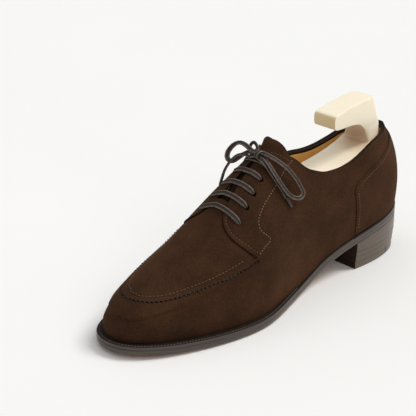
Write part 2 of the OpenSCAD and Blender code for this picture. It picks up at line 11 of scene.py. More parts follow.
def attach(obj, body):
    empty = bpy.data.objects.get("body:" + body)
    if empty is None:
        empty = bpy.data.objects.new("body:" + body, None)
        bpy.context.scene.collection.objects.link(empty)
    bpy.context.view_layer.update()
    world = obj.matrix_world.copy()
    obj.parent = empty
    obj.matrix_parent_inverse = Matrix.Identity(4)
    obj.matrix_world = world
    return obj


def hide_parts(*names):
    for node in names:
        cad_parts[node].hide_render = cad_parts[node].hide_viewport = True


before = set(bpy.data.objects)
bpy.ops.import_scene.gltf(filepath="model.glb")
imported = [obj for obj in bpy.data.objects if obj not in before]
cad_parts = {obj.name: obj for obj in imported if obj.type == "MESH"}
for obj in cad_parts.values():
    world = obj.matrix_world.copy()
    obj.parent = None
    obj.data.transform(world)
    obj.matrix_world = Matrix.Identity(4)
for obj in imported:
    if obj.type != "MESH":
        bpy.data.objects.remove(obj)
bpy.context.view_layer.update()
rng = np.random.default_rng(7)
MM = 0.001
SHOE, TREE = "shoe", "tree_heel_part"

# ---------------------------------------------------------------- the last, as in the CAD source (mm)
# Feather edge x and y, ridge x, squareness and swell, from the toe round the outer side to the heel and back
LAST = np.array([
    [145, -4, 114, 2.5, 1], [141, 11, 112, 2.5, 1.5], [124, 25, 103, 2.4, 2], [98, 35, 86, 2.25, 2.5],
    [72, 42, 64, 2.15, 3], [40, 45.5, 38, 2.2, 3], [10, 36, 12, 2.3, 3.5], [-20, 29, -16, 2.5, 4],
    [-55, 28, -44, 2.7, 5], [-92, 31, -64, 2.35, 4.5], [-132, 26, -78, 1.9, 4], [-154.5, 0, -84, 1.85, 4],
    [-132, -26, -78, 1.9, 4], [-92, -30, -64, 2.35, 4.5], [-55, -26, -44, 2.7, 4],
    [-20, -25, -16, 2.5, 3], [12, -32, 12, 2.3, 2.5], [42, -41.5, 38, 2.2, 2.5], [70, -43, 64, 2.15, 2.5],
    [98, -37, 86, 2.25, 2.5], [124, -29, 103, 2.4, 2], [141, -18, 112, 2.5, 1.5]], float)
ROUND = len(LAST)
HEEL = ROUND / 2
SOLE = [[-160, 33], [-115, 28], [-78, 22.5], [-45, 14], [-15, 3.5], [20, 0.45], [50, 0], [85, 0.6],
        [115, 1.6], [160, 4]]
RIDGE = [[-125, 143], [-104, 143], [-74, 140], [-46, 133], [-18, 122], [10, 106], [38, 84.5], [65, 64.5],
         [90, 52], [110, 43.5], [124, 38], [135, 33.5]]
CENTRE = [[-150, 0], [-60, 0], [40, 0], [90, -1.5], [135, -4]]
MARGIN = [[-160, 1.5], [-95, 2], [-60, 1.5], [-20, 2], [15, 4.5], [40, 5.5], [120, 6], [150, 5.3]]
SEAM = [[0, 0.745], [0.6, 0.74], [1.2, 0.68], [1.7, 0.61], [2.4, 0.53], [3, 0.49], [3.6, 0.46],
        [4.2, 0.425], [5, 0.37]]
FLAP_FRONT = [[5, 0.37], [4.84, 0.45], [4.72, 0.53], [4.62, 0.61], [4.56, 0.7], [4.57, 0.78], [4.64, 0.845],
              [4.78, 0.895]]
FLAP_GAP = [[4.78, 0.895], [5.1, 0.928], [5.45, 0.955], [5.8, 0.97], [6.3, 0.982], [6.48, 0.985]]
FLAP_TOP = [[6.48, 0.985], [6.6, 0.93], [6.66, 0.87], [6.74, 0.8], [6.86, 0.7], [6.96, 0.64]]
TOPLINE_OUT = [[6.96, 0.64], [7.16, 0.52], [7.38, 0.45], [7.66, 0.39], [7.92, 0.36], [8.22, 0.345],
               [8.54, 0.35], [8.92, 0.38], [9.4, 0.42], [10, 0.445], [10.5, 0.45], [11, 0.45]]
TOPLINE_IN = [[6.96, 0.64], [7.16, 0.52], [7.4, 0.44], [7.7, 0.38], [8.14, 0.335], [8.6, 0.3],
              [9, 0.3], [9.4, 0.33], [9.8, 0.38], [10.2, 0.42], [10.6, 0.445], [11, 0.45]]
FOXING = [[8.44, 0.2], [8.56, 0.225], [8.94, 0.265], [9.4, 0.31], [9.8, 0.355], [10.3, 0.4], [11, 0.425]]
EYELETS = [[4.9, 0.69], [5.24, 0.735], [5.56, 0.755], [5.9, 0.78], [6.22, 0.8]]
EYELETS_IN = [[4.76, 0.78], [5.12, 0.8], [5.47, 0.81], [5.83, 0.82], [6.18, 0.83]]
SOLE_EDGE_H, OUTSOLE_T, FLAP_LIFT, SUEDE_T = 7.0, 4.3, 1.7, 1.4


def read_off(points, x):
    """Smooth curve through points (a, b) with a rising, read off at x."""
    P = np.asarray(points, float)
    X, Y = P[:, 0], P[:, 1]
    x = np.clip(np.asarray(x, float), X[0], X[-1])
    h = np.diff(X)
    d = np.diff(Y) / h
    m = np.empty_like(Y)
    m[0], m[-1] = d[0], d[-1]
    m[1:-1] = (h[1:] * d[:-1] + h[:-1] * d[1:]) / (h[1:] + h[:-1])
    i = np.clip(np.searchsorted(X, x, side="right") - 1, 0, len(X) - 2)
    u = (x - X[i]) / h[i]
    return ((2 * u**3 - 3 * u**2 + 1) * Y[i] + (u**3 - 2 * u**2 + u) * h[i] * m[i]
            + (3 * u**2 - 2 * u**3) * Y[i + 1] + (u**3 - u**2) * h[i] * m[i + 1])


def along(places, n):
    """n places evenly spread along a list of places, as an (n, 2) array."""
    P = np.asarray(places, float)
    k = np.arange(len(P))
    u = np.linspace(0, len(P) - 1, n)
    return np.stack([read_off(np.stack([k, column], 1), u) for column in P.T], 1)


def smooth(x):
    """Smooth step from 0 to 1 as x goes from 0 to 1."""
    u = np.clip(x, 0, 1)
    return u * u * (3 - 2 * u)


def hump(x, width):
    """Bell curve of height 1 at x = 0."""
    return np.exp(-(x / width) ** 2)


def unit(v):
    """Vectors along the last axis, scaled to length 1."""
    return v / np.linalg.norm(v, axis=-1, keepdims=True)


def run_along(P):
    """How far along a polyline each of its points lies."""
    return np.concatenate([[0], np.cumsum(np.linalg.norm(np.diff(P, axis=0), axis=1))])


def station(s):
    """Row of LAST at station s, on a cubic B-spline round the last."""
    s = np.mod(np.asarray(s, float), ROUND)
    i = np.floor(s).astype(int)
    u = (s - i)[..., None]
    w = [(1 - u)**3 / 6, (3 * u**3 - 6 * u**2 + 4) / 6, (-3 * u**3 + 3 * u**2 + 3 * u + 1) / 6, u**3 / 6]
    return sum(w[k] * LAST[(i - 1 + k) % ROUND] for k in range(4))


def outwards(s):
    """Direction in plan square to the feather edge."""
    d = station(np.asarray(s) + 0.001) - station(np.asarray(s) - 0.001)
    return unit(np.stack([d[..., 1], -d[..., 0]], -1))


def sole_z(x):
    return read_off(SOLE, x)


def ridge_z(x):
    return read_off(RIDGE, x)


def last_at(s, t):
    """Points in mm on the last: station s, share t of the way up to the ridge."""
    s, t = np.broadcast_arrays(np.asarray(s, float), np.asarray(t, float))
    q = station(s)
    rx = (q[..., 2] + station(ROUND - s)[..., 2]) / 2
    ry = read_off(CENTRE, rx)
    phi = t * math.pi / 2
    rise = np.sin(phi) ** (2 / q[..., 3])
    inward = 1 - np.abs(np.cos(phi)) ** (2 / q[..., 3])
    swell = q[..., 4] * np.sin(math.pi * np.minimum(1.15 * rise, 1))
    n = outwards(s)
    x = q[..., 0] + (rx - q[..., 0]) * inward + n[..., 0] * swell
    y = q[..., 1] + (ry - q[..., 1]) * inward + n[..., 1] * swell
    zb = sole_z(q[..., 0]) + SOLE_EDGE_H
    return np.stack([x, y, zb + (ridge_z(x) - zb) * rise], -1)


def normal_at(s, t):
    """Outward normal of the last, blended into the ridge line's own normal near the top."""
    s, t = np.broadcast_arrays(np.asarray(s, float), np.asarray(t, float))
    e = 0.002
    tc = np.clip(t, 1e-4, 0.9995)
    a = last_at(s + e, tc) - last_at(s - e, tc)
    b = last_at(s, np.minimum(tc + e, 0.9999)) - last_at(s, np.maximum(tc - e, 1e-4))
    n = np.cross(a, b)
    x = last_at(s, np.ones_like(s))[..., 0]
    ridge = np.stack([ridge_z(x - 0.5) - ridge_z(x + 0.5), 0 * x, 1 + 0 * x], -1)
    blend = smooth((t - 0.985) / 0.0145)[..., None]
    return unit(unit(n) * (1 - blend) + unit(ridge) * blend)


def out_at(s, t, d):
    """Points d mm out from the last."""
    return last_at(s, t) + normal_at(s, t) * np.asarray(d)[..., None]


def flap_rise(s, t):
    """How far a lacing flap stands up from the vamp under it."""
    q = np.where(s > HEEL, ROUND - s, s)
    return FLAP_LIFT * (1 - smooth((q - 5.1) / 1.1)) * smooth((t - 0.375) / 0.06)


# ---------------------------------------------------------------- mesh helpers
def link(name, data):
    """New object in the scene."""
    ob = bpy.data.objects.new(name, data)
    bpy.context.scene.collection.objects.link(ob)
    return ob


def new_mesh(name, verts_mm, faces, body=SHOE):
    me = bpy.data.meshes.new(name)
    me.from_pydata((np.asarray(verts_mm) * MM).tolist(), [], [tuple(int(i) for i in f) for f in faces])
    me.validate()
    me.polygons.foreach_set("use_smooth", [True] * len(me.polygons))
    ob = link(name, me)
    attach(ob, body)
    return ob


def tool_from(name, bm):
    """Object of a bmesh, on no body: something to cut or join with."""
    me = bpy.data.meshes.new(name)
    bm.to_mesh(me)
    bm.free()
    return link(name, me)


def grid_faces(n, m, loop=False, flip=False):
    """Faces of a grid of n by m points, closed along n where it is a loop."""
    i, j = np.meshgrid(np.arange(n if loop else n - 1), np.arange(m - 1), indexing="ij")
    a = i * m + j
    b = a + 1
    d = ((i + 1) % n) * m + j
    c = d + 1
    return np.stack([a, d, c, b] if not flip else [a, b, c, d], -1).reshape(-1, 4)


def tube_faces(n, m, loop=False):
    """Faces of n rings of m points, with an end cap on each side unless it is a loop."""
    F = []
    for i in range(n if loop else n - 1):
        for j in range(m):
            a, b = i * m + j, i * m + (j + 1) % m
            c, d = (i + 1) % n * m + (j + 1) % m, (i + 1) % n * m + j
            F.append((a, d, c, b))
    if not loop:
        F += [tuple(range(m)), tuple((n - 1) * m + q for q in range(m))[::-1]]
    return F


def edit_mesh(ob, edit):
    """Runs a function of a bmesh on a piece's mesh."""
    bm = bmesh.new()
    bm.from_mesh(ob.data)
    edit(bm)
    bm.to_mesh(ob.data)
    bm.free()


def turn_outwards(bm):
    bmesh.ops.recalc_face_normals(bm, faces=bm.faces)


def tube(name, rings):
    """Piece through rings of points, an (n, m, 3) array, closed at both ends."""
    ob = new_mesh(name, rings.reshape(-1, 3), tube_faces(*rings.shape[:2]))
    edit_mesh(ob, turn_outwards)
    return ob


def weld(ob, mm=0.02):
    """Joins points that lie closer than mm and drops faces that have no area."""
    def edit(bm):
        bmesh.ops.remove_doubles(bm, verts=bm.verts, dist=mm * MM)
        bmesh.ops.dissolve_degenerate(bm, edges=bm.edges, dist=mm * MM / 4)
    edit_mesh(ob, edit)


def soften_edges(ob, mm, segments, angle):
    b = ob.modifiers.new("edge", "BEVEL")
    b.width = mm * MM
    b.segments = segments
    b.limit_method = "ANGLE"
    b.angle_limit = math.radians(angle)


def thicken(ob, mm, bevel, finish=None):
    """Gives a sheet its thickness; finish is a face material and a material for the cut edge."""
    s = ob.modifiers.new("thickness", "SOLIDIFY")
    if finish:
        for m in finish:
            ob.data.materials.append(m)
        # The cut edges take the second material; the dark suede edge is partly dye, partly painted shadow.
        s.material_offset_rim = 1
    s.thickness = mm * MM
    s.offset = -1
    s.use_even_offset = False
    soften_edges(ob, bevel, 3, 50)


def apply_all(ob):
    """Bakes the modifiers into the mesh."""
    dg = bpy.context.evaluated_depsgraph_get()
    dg.update()
    me = bpy.data.meshes.new_from_object(ob.evaluated_get(dg))
    ob.modifiers.clear()
    old = ob.data
    mats = list(old.materials)
    ob.data = me
    bpy.data.meshes.remove(old)
    if not me.materials:
        for m in mats:
            me.materials.append(m)
    me.polygons.foreach_set("use_smooth", [True] * len(me.polygons))


def dress(ob, material, slot_name, *replaced):
    """Material and replaced nodes of a piece, with a slot name that is not used; a piece that has its
    materials keeps them.
    """
    if material:
        ob.data.materials.clear()
        ob.data.materials.append(material)
    if replaced:
        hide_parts(*replaced)
    return ob


def boolean(ob, other, operation):
    """Cuts, joins or meets a piece with another object, which is used up."""
    m = ob.modifiers.new(operation, "BOOLEAN")
    m.object = other
    m.operation = operation
    m.solver = "EXACT"
    apply_all(ob)
    bpy.data.objects.remove(other)


def paint_where(ob, material, test):
    """Gives a second material to the faces that pass a test."""
    ob.data.materials.append(material)
    for f in ob.data.polygons:
        f.material_index = 1 if test(f) else 0


def distance_to(points, grid):
    """Distance in mm from each point of a grid to the nearest of some points."""
    kd = KDTree(len(points))
    for i, p in enumerate(points):
        kd.insert(Vector(p), i)
    kd.balance()
    return np.array([kd.find(Vector(p))[2] for p in grid.reshape(-1, 3)]).reshape(grid.shape[:-1])


def resample(points, step):
    """Points spaced evenly by about step along a polyline."""
    P = np.asarray(points, float)
    L = run_along(P)
    u = np.linspace(0, L[-1], max(2, int(round(L[-1] / step)) + 1))
    return np.stack([np.interp(u, L, column) for column in P.T], 1)


def catmull(route, steps=12):
    """Smooth curve through a given route."""
    P = np.asarray(route, float)
    N = len(P)
    out = []
    for i in range(N - 1):
        a, b, c, d = P[max(i - 1, 0)], P[i], P[i + 1], P[min(i + 2, N - 1)]
        for k in range(steps):
            u = k / steps
            out.append(b + u * (c - a) / 2 + u**2 * (2 * a - 5 * b + 4 * c - d) / 2
                       + u**3 * (3 * b - a - 3 * c + d) / 2)
    out.append(P[-1])
    return np.array(out)


def inner(places):
    """The same places on the inner side of the last."""
    P = np.array(places, float)
    P[..., 0] = ROUND - P[..., 0]
    return P


# ---------------------------------------------------------------- materials
def rgb(code):
    """Linear colour from a hex code."""
    c = [int(code[i:i + 2], 16) / 255 for i in (1, 3, 5)]
    return tuple(v / 12.92 if v <= 0.04045 else ((v + 0.055) / 1.055) ** 2.4 for v in c) + (1.0,)


def feed(tree, node, inputs):
    """Sets a node's inputs, each to a value or to the output that feeds it."""
    for key, value in inputs.items():
        if isinstance(value, bpy.types.NodeSocket):
            tree.links.new(value, node.inputs[key])
        else:
            node.inputs[key].default_value = value


def add_node(tree, kind, inputs, output=0, **settings):
    """New shader node with its inputs and settings; gives back one of its outputs."""
    node = tree.nodes.new("ShaderNode" + kind)
    for key, value in settings.items():
        setattr(node, key, value)
    feed(tree, node, inputs)
    return node.outputs[output]


def material(name, dark, light, rough=0.6, scale=60, fine=0.0, fine_scale=1800, bump=0.0, bump_scale=2500,
             bump_mm=0.1, sheen=0.0, sheen_tint="#8a6a50", coat=0.0, metal=0.0, spec=0.5, stretch=(1, 1, 1),
             crevice_shade=None, crevice_shade_mm=2.0, crevice_shade_power=1.2, crevice_shade_own=False):
    """Procedural finish: two colours mixed by slow noise, fine speckle, a bump of fine noise and painted
    shade that darkens the crevices, the piece's own ones only or also those between pieces."""
    m = bpy.data.materials.new(name)
    m.use_nodes = True
    tree = m.node_tree
    place = add_node(tree, "Mapping", {"Vector": add_node(tree, "TexCoord", {}, "Object"), "Scale": stretch})

    def noise(scale, detail, rough=0.5):
        return add_node(tree, "TexNoise", {"Vector": place, "Scale": scale, "Detail": detail,
                                           "Roughness": rough}, "Fac")

    colour = add_node(tree, "ValToRGB", {"Fac": noise(scale, 5, 0.6)})
    ramp = colour.node.color_ramp.elements
    ramp[0].position, ramp[1].position = 0.3, 0.7
    ramp[0].color, ramp[1].color = rgb(dark), rgb(light)
    if fine:
        speckle = add_node(tree, "MapRange", {"Value": noise(fine_scale, 2), "From Min": 0.3,
                                              "From Max": 0.7, "To Min": 1 - fine, "To Max": 1 + fine})
        colour = add_node(tree, "HueSaturation", {"Value": speckle, "Color": colour})
    # Painted shade: ambient occlusion mixes in a shade colour where the piece is hemmed in, by itself or by
    # other pieces.
    if crevice_shade:
        open_ = add_node(tree, "AmbientOcclusion", {"Distance": crevice_shade_mm * MM}, "AO", samples=8,
                         only_local=crevice_shade_own)
        share = add_node(tree, "Math", {0: open_, 1: crevice_shade_power}, operation="POWER")
        colour = add_node(tree, "MixRGB", {"Fac": share, "Color1": rgb(crevice_shade), "Color2": colour})
    feed(tree, tree.nodes["Principled BSDF"], {
        "Base Color": colour, "Roughness": rough, "Metallic": metal, "Specular IOR Level": spec,
        "Sheen Weight": sheen, "Sheen Roughness": 0.5, "Sheen Tint": rgb(sheen_tint),
        "Coat Weight": coat, "Coat Roughness": 0.25})
    if bump:
        grain = add_node(tree, "Bump", {"Strength": bump, "Distance": bump_mm * MM,
                                        "Height": noise(bump_scale, 3)})
        feed(tree, tree.nodes["Principled BSDF"], {"Normal": grain})
    return m


SUEDE = material("suede", "#2f1f15", "#422b1d", rough=0.95, scale=42, fine=0.2, fine_scale=850, bump=0.8,
                 bump_scale=1500, bump_mm=0.3, sheen=0.25, sheen_tint="#8d6647", spec=0.05)
# Dark cut edges of the suede: partly the edge's own dye, partly painted shadow under the raised edges.
EDGE_DYE_AND_SHADOW = material("suede_edge_dye_and_shadow", "#1d130d", "#2a1c12", rough=0.9, scale=200, bump=0.3, spec=0.1)
# Near-black suede that paints the shadow in the deep gap between the lacing flaps.
PAINTED_SHADE_SUEDE = material("suede_painted_shade_under_lacing", "#20150d", "#2c1d12", rough=0.95, scale=70, fine=0.15, bump=0.5,
                       bump_scale=2300, bump_mm=0.2, sheen=0.05, spec=0.04)
BINDING = material("binding", "#20170f", "#2d2017", rough=0.8, scale=300, bump=0.3, bump_scale=1200,
                   spec=0.12)
LINING = material("lining", "#eeb05a", "#f7c474", rough=0.6, scale=50, fine=0.05, bump=0.15, bump_scale=1500)
STIFFENER = material("stiffener", "#c4b79d", "#d6cbb2", rough=0.8, scale=80)
SOLE_SIDE = material("sole_edge", "#3a312a", "#473c33", rough=0.4, scale=90, stretch=(0.4, 0.4, 3), bump=0.1,
                     bump_scale=500, coat=0.15)
SOLE_LEATHER = material("sole_leather", "#9c7147", "#b28557", rough=0.6, scale=70, fine=0.08, bump=0.15)
WELT = material("welt", "#16110d", "#241c16", rough=0.65, scale=200, fine=0.2, bump=0.4, bump_scale=1500,
                spec=0.2)
HEEL_SIDE = material("heel_leather", "#54483b", "#5f5244", rough=0.4, scale=60, stretch=(0.25, 0.25, 6),
                     fine=0.03, bump=0.04, bump_scale=400, coat=0.12)
HEEL_BREAST = material("heel_breast", "#1f150c", "#2e2014", rough=0.7, scale=60, stretch=(0.25, 0.25, 6),
                       spec=0.15)
NAIL = material("nail_brass", "#a88c4f", "#c8ad6d", rough=0.35, scale=200, metal=1.0)
INSOLE = material("insole_leather", "#a87b4d", "#bf9161", rough=0.7, scale=60, fine=0.06)
CORK = material("cork", "#8c6239", "#b78a58", rough=0.9, scale=600, bump=0.4, bump_scale=700)
STEEL = material("steel", "#7d8288", "#9aa0a6", rough=0.35, scale=200, metal=1.0)
# The lace's near-black second colour is painted shade, mixed in where the lace is hemmed in by itself or by
# other pieces.
LACE = material("lace", "#44382f", "#6b5d51", rough=0.5, scale=420, fine=0.35, fine_scale=1500, bump=0.4,
                bump_scale=1300, bump_mm=0.15, spec=0.45, crevice_shade="#120e0c")
# Darker lace colour for the hollow down the middle of each lace: painted shade between the beads.
GROOVE_SHADE = material("lace_groove_painted_shade", "#1d1714", "#322924", rough=0.6, scale=420, fine=0.3, fine_scale=1500,
                  bump=0.3, bump_scale=1300, bump_mm=0.15, spec=0.3)
AGLET = material("aglet", "#1f1b1a", "#2d2826", rough=0.35, scale=200, coat=0.2)
# Cream paint of the shoe tree with painted shade: warm brown mixed in where the tree hems itself in, under
# the handle and at the neck.
TREE_PAINT_AND_SHADE = material("tree", "#fcefd4", "#fef5e0", rough=0.42, scale=25, fine=0.015, fine_scale=700,
                      bump=0.05, bump_scale=250, coat=0.1, crevice_shade="#a4660c", crevice_shade_mm=20.0,
                      crevice_shade_power=1.8, crevice_shade_own=True)
# Darker, warmer tan of the handle's forward face: painted shade on the side turned away from the light.
TREE_FRONT_SHADE = material("tree_front_painted_shade", "#ecd09d", "#f2daae", rough=0.5, scale=25, fine=0.02, fine_scale=700,
                    bump=0.05, bump_scale=250)
THREAD, FACING_THREAD, SEAM_THREAD, WELT_THREAD = [
    material(name, dark, light, rough=rough, scale=900, bump=0.2) for name, dark, light, rough in (
        ("thread", "#54402f", "#6b523d", 0.8), ("facing_thread", "#75604b", "#8f775f", 0.8),
        ("seam_thread", "#140d08", "#22170f", 0.75), ("welt_thread", "#4a3f36", "#675a4d", 0.75))]


# ---------------------------------------------------------------- lines on the last and stitches
def surface_line(places, lift, n=240):
    """Places on the last as a polyline of points and normals, lift mm out, raised on the flaps."""
    s, t = along(places, n).T
    return out_at(s, t, lift + flap_rise(s, t)), normal_at(s, t)


def both_sides(places, lift=0.0, n=240, places_in=None):
    """A line on the outer side and one on the inner side, which may have its own places."""
    return [surface_line(places, lift, n),
            surface_line(inner(places if places_in is None else places_in), lift, n)]


def points_of(*lines):
    """The points of many lines in one array."""
    return np.concatenate([points for pair in lines for points, _ in pair])


def stitches(name, lines, spacing, size, mat, slot_name, slant=0.0, share=0.66):
    """A row of thread stitches as small capsules along lines, each line (points, normals) in mm. Each stitch
    is flatter than it is wide, and its ends dip into the surface."""
    V, F = [], []
    rings, round_, reach, squeeze = 6, 7, 0.4, 0.75
    for P, Nn in lines:
        L = run_along(P)

        def at(column, u):
            return np.array([np.interp(min(max(u, 0), L[-1]), L, column[:, i]) for i in range(3)])

        count = max(1, int(L[-1] / spacing))
        for k in range(count):
            u = (k + 0.5) * L[-1] / count
            tan = unit(at(P, u + reach) - at(P, u - reach))
            out = at(Nn, u)
            out = unit(out - tan * (out @ tan))
            side = np.cross(out, tan)
            middle = at(P, u)
            ang = slant + rng.normal(0, 0.05)
            c, d = math.cos(ang), math.sin(ang)
            tan, side = tan * c + side * d, side * c - tan * d
            half = spacing * share / 2 * (1 + rng.normal(0, 0.04))
            base = len(V)
            for i in range(rings):
                w = math.pi * i / (rings - 1)
                x, r = -math.cos(w) * half, math.sin(w) ** 0.6 * size
                for j in range(round_):
                    q = 2 * math.pi * j / round_
                    up = r * squeeze * math.sin(q) - 0.25 * size * (x / half) ** 2
                    V.append(middle + tan * x + side * r * math.cos(q) + out * up)
            F += [[base + i for i in f[::-1]] for f in tube_faces(rings, round_)[:-2]]
    ob = new_mesh(name, V, F)
    weld(ob, 0.004)
    return dress(ob, mat, slot_name)


# ---------------------------------------------------------------- the side panel
SEAM_COLUMNS, TOP_COLUMNS = 210, 170
PUCKER = 3.0        # mm from one pucker of the hand-sewn seam to the next
ROW_FRONT = [[5.06, 0.39], [4.93, 0.455], [4.79, 0.545], [4.69, 0.625], [4.635, 0.705], [4.645, 0.77],
             [4.7, 0.825], [4.82, 0.872]]
ROW_GAP = [[4.82, 0.872], [5.1, 0.895], [5.45, 0.922], [5.8, 0.937], [6.3, 0.949], [6.4, 0.95]]
ROW_TOP = [[6.4, 0.95], [6.5, 0.92], [6.57, 0.86], [6.65, 0.78], [6.77, 0.69], [6.88, 0.62]]
ROW_REAR = [[5.04, 0.395], [5.24, 0.4], [5.46, 0.395], [5.4, 0.44], [5.31, 0.49], [5.28, 0.53], [5.33, 0.57],
            [5.45, 0.595], [5.7, 0.61], [5.95, 0.612], [6.3, 0.62], [6.62, 0.64], [6.9, 0.645]]
ROW_BELOW_TOPLINE = 0.024
ROW_TOPLINE_OUT = np.array(TOPLINE_OUT) - [0, ROW_BELOW_TOPLINE]
ROW_TOPLINE_IN = np.array(TOPLINE_IN) - [0, ROW_BELOW_TOPLINE]


def columns(feet, low, high):
    """Columns of three places each: at the feather edge, partway up and at the top edge."""
    return np.stack([np.stack([feet, 0 * feet], 1), low, high], 1)


def half_panel(topline):
    """Columns of one side of the panel, from the toe by the seam, the flap and the topline to the heel."""
    top = along(SEAM, SEAM_COLUMNS)
    parts = [columns(top[:, 0], top * [1, 0.7], top - [0, 0.004])]
    for edge, feet, n in ((FLAP_FRONT, [[5, 0.366], [5.03, 0.36], [5.2, 0.35], [5.6, 0.34]], 60),
                          (FLAP_GAP, [[5.6, 0.34], [6, 0.36], [6.3, 0.36]], 36),
                          (FLAP_TOP, [[6.3, 0.36], [6.6, 0.35], [6.9, 0.33]], 24)):
        low = along(feet, n)
        parts.append(columns(low[:, 0], low, along(edge, n))[1:])
    top = along(topline, TOP_COLUMNS)
    feet = top[:, 0] - 0.06 * (1 - np.linspace(0, 1, TOP_COLUMNS))
    parts.append(columns(feet, np.stack([feet, top[:, 1] * 0.52], 1), top)[1:])
    return np.concatenate(parts)


def rows_of(cols, lower=22, upper=64):
    """Splits columns of three places into many rows, closer together towards the top edge."""
    u = np.linspace(0, 1, lower, endpoint=False)[:, None]
    v = (1 - (1 - np.linspace(0, 1, upper)) ** 1.35)[:, None]
    a = cols[:, None, 0] * (1 - u) + cols[:, None, 1] * u
    b = cols[:, None, 1] * (1 - v) + cols[:, None, 2] * v
    return np.concatenate([a, b], 1)


panel = np.concatenate([rows_of(half_panel(TOPLINE_OUT)),
                        rows_of(inner(half_panel(TOPLINE_IN)))[::-1][1:-1]])
ps, pt = panel[..., 0], panel[..., 1]
panel_points = out_at(ps, pt, flap_rise(ps, pt))
groove_far = distance_to(points_of(both_sides(ROW_FRONT), both_sides(ROW_GAP), both_sides(ROW_TOP),
                                   both_sides(ROW_TOPLINE_OUT, 0, 500, ROW_TOPLINE_IN),
                                   both_sides(ROW_REAR, 0, 400)), panel_points)
seam_points = points_of(both_sides(SEAM, 0, 900))
seam_far = distance_to(seam_points, panel_points)
wave = np.sin(2 * math.pi * run_along(surface_line(SEAM, 0, SEAM_COLUMNS)[0]) / PUCKER)
pucker, on_seam = np.zeros((2, len(panel), 1))
pucker[:SEAM_COLUMNS, 0], pucker[1 - SEAM_COLUMNS:, 0] = wave, wave[:0:-1]
on_seam[:SEAM_COLUMNS - 4] = on_seam[5 - SEAM_COLUMNS:] = 1
at_seam = on_seam * (hump(seam_far, 1.7) * (0.15 + 0.3 * pucker) - 0.9 * hump(seam_far, 0.8))
lip = 0.45 * hump(distance_to(points_of(both_sides(FLAP_FRONT, 0, 300)), panel_points), 1.6)
lip = lip * smooth((pt - 0.38) / 0.05)
panel_points = panel_points + normal_at(ps, pt) * (at_seam - 0.22 * hump(groove_far, 0.7) + lip)[..., None]
side_panel = new_mesh("side_panel_suede", panel_points.reshape(-1, 3),
                      grid_faces(*panel.shape[:2], loop=True))
thicken(side_panel, SUEDE_T, 0.3, (SUEDE, EDGE_DYE_AND_SHADOW))
apply_all(side_panel)


def lacing_holes(radius):
    """Short rods through the flaps at the lacing holes."""
    bm = bmesh.new()
    for s, t in EYELETS + inner(EYELETS_IN).tolist():
        c, n = last_at(s, t), normal_at(s, t)
        rod = bmesh.ops.create_cone(bm, cap_ends=True, segments=28, radius1=radius * MM, radius2=radius * MM,
                                    depth=8 * MM)
        turn = Vector(n).to_track_quat("Z", "Y")
        for v in rod["verts"]:
            v.co = turn @ v.co + Vector((c + n) * MM)
    return tool_from("hole_cutter", bm)


boolean(side_panel, lacing_holes(1.95), "DIFFERENCE")
dress(side_panel, None, "suede", "side_panel")


# ---------------------------------------------------------------- the apron, tongue and linings
def sheet(name, points, faces, mm, bevel, finish, slot_name, *nodes):
    """A thickened sheet, dressed; finish is one material, or one of the faces and one of the edge."""
    ob = new_mesh(name, points.reshape(-1, 3), faces)
    several = isinstance(finish, tuple)
    thicken(ob, mm, bevel, finish if several else None)
    apply_all(ob)
    return dress(ob, None if several else finish, slot_name, *nodes)


def saddle(rim, s0, s1, n, m, layer, bend=None, rim_in=None):
    """Points of a sheet over the ridge: rows of stations, columns from the outer rim to the inner rim."""
    s = np.linspace(s0, s1, n)
    j = np.arange(-m, m + 1)
    w = 1 - (1 - np.abs(j) / m) ** 1.25
    low = np.where(j > 0, read_off(rim_in or rim, s)[:, None], read_off(rim, s)[:, None])
    t = 1 - (1 - low) * w
    side = np.where(j > 0, ROUND - s[:, None], s[:, None])
    d = np.full(t.shape, float(layer))
    if bend:
        d = d + bend(side, t, s[:, None])
    return out_at(side, t, d), side, t


def nearer_side(s):
    """Station on the outer side at the same distance from the toe."""
    return np.where(s > HEEL, ROUND - s, s)


APRON_RIM = [[p[0], p[1] + 0.004] for p in SEAM[:-1]] + [[5.02, 0.38]]
APRON_ROW = [[0, 0.85], [0.6, 0.835], [1.1, 0.775], [1.65, 0.7], [2.25, 0.615], [2.75, 0.572], [3.25, 0.538],
             [3.7, 0.512], [4.15, 0.488], [4.6, 0.458]]
APRON_ROW_IN = [[0, 0.85], [0.84, 0.85], [1.2, 0.8], [1.74, 0.73], [2.28, 0.65], [2.64, 0.615],
                [3.14, 0.585], [3.5, 0.57], [4, 0.55], [4.5, 0.53]]
apron_points, aps, apt = saddle(APRON_RIM, 0, 5.02, 230, 84, 0)
row_far = distance_to(points_of(both_sides(APRON_ROW, 0, 500, APRON_ROW_IN)), apron_points)
rim_far = distance_to(seam_points, apron_points)
pucker = np.sin(2 * math.pi * run_along(apron_points[:, 0]) / PUCKER)[:, None]
lift = hump(rim_far - 1.3, 1.3) * (0.55 + 0.22 * pucker) - 0.5 * hump(rim_far, 0.6)
lift = lift * smooth((5.0 - nearer_side(aps)) / 0.12 + 0.4)
front = along(FLAP_FRONT[1:], 300)
front_line = np.concatenate([last_at(*q.T) for q in (front, inner(front))])
under_flap = 1.1 * hump(distance_to(front_line, apron_points), 1.5)
apron_points = apron_points + normal_at(aps, apt) * (lift - 0.2 * hump(row_far, 0.7) - under_flap)[..., None]
apron = new_mesh("apron_suede", apron_points.reshape(-1, 3), grid_faces(*aps.shape, flip=True))
weld(apron)
thicken(apron, SUEDE_T, 0.3, (SUEDE, EDGE_DYE_AND_SHADOW))
apply_all(apron)
dress(apron, None, "suede", "apron")

TONGUE_START, TONGUE_END, TONGUE_UNDER = 4.99, 6.89, 2.7
TONGUE_RIM = [[4.99, 0.7], [5.6, 0.64], [6.2, 0.62], [6.93, 0.66]]
TONGUE_RIM_IN = [[4.99, 0.7], [5.6, 0.64], [6.2, 0.64], [6.6, 0.7], [6.8, 0.78], [6.93, 0.85]]


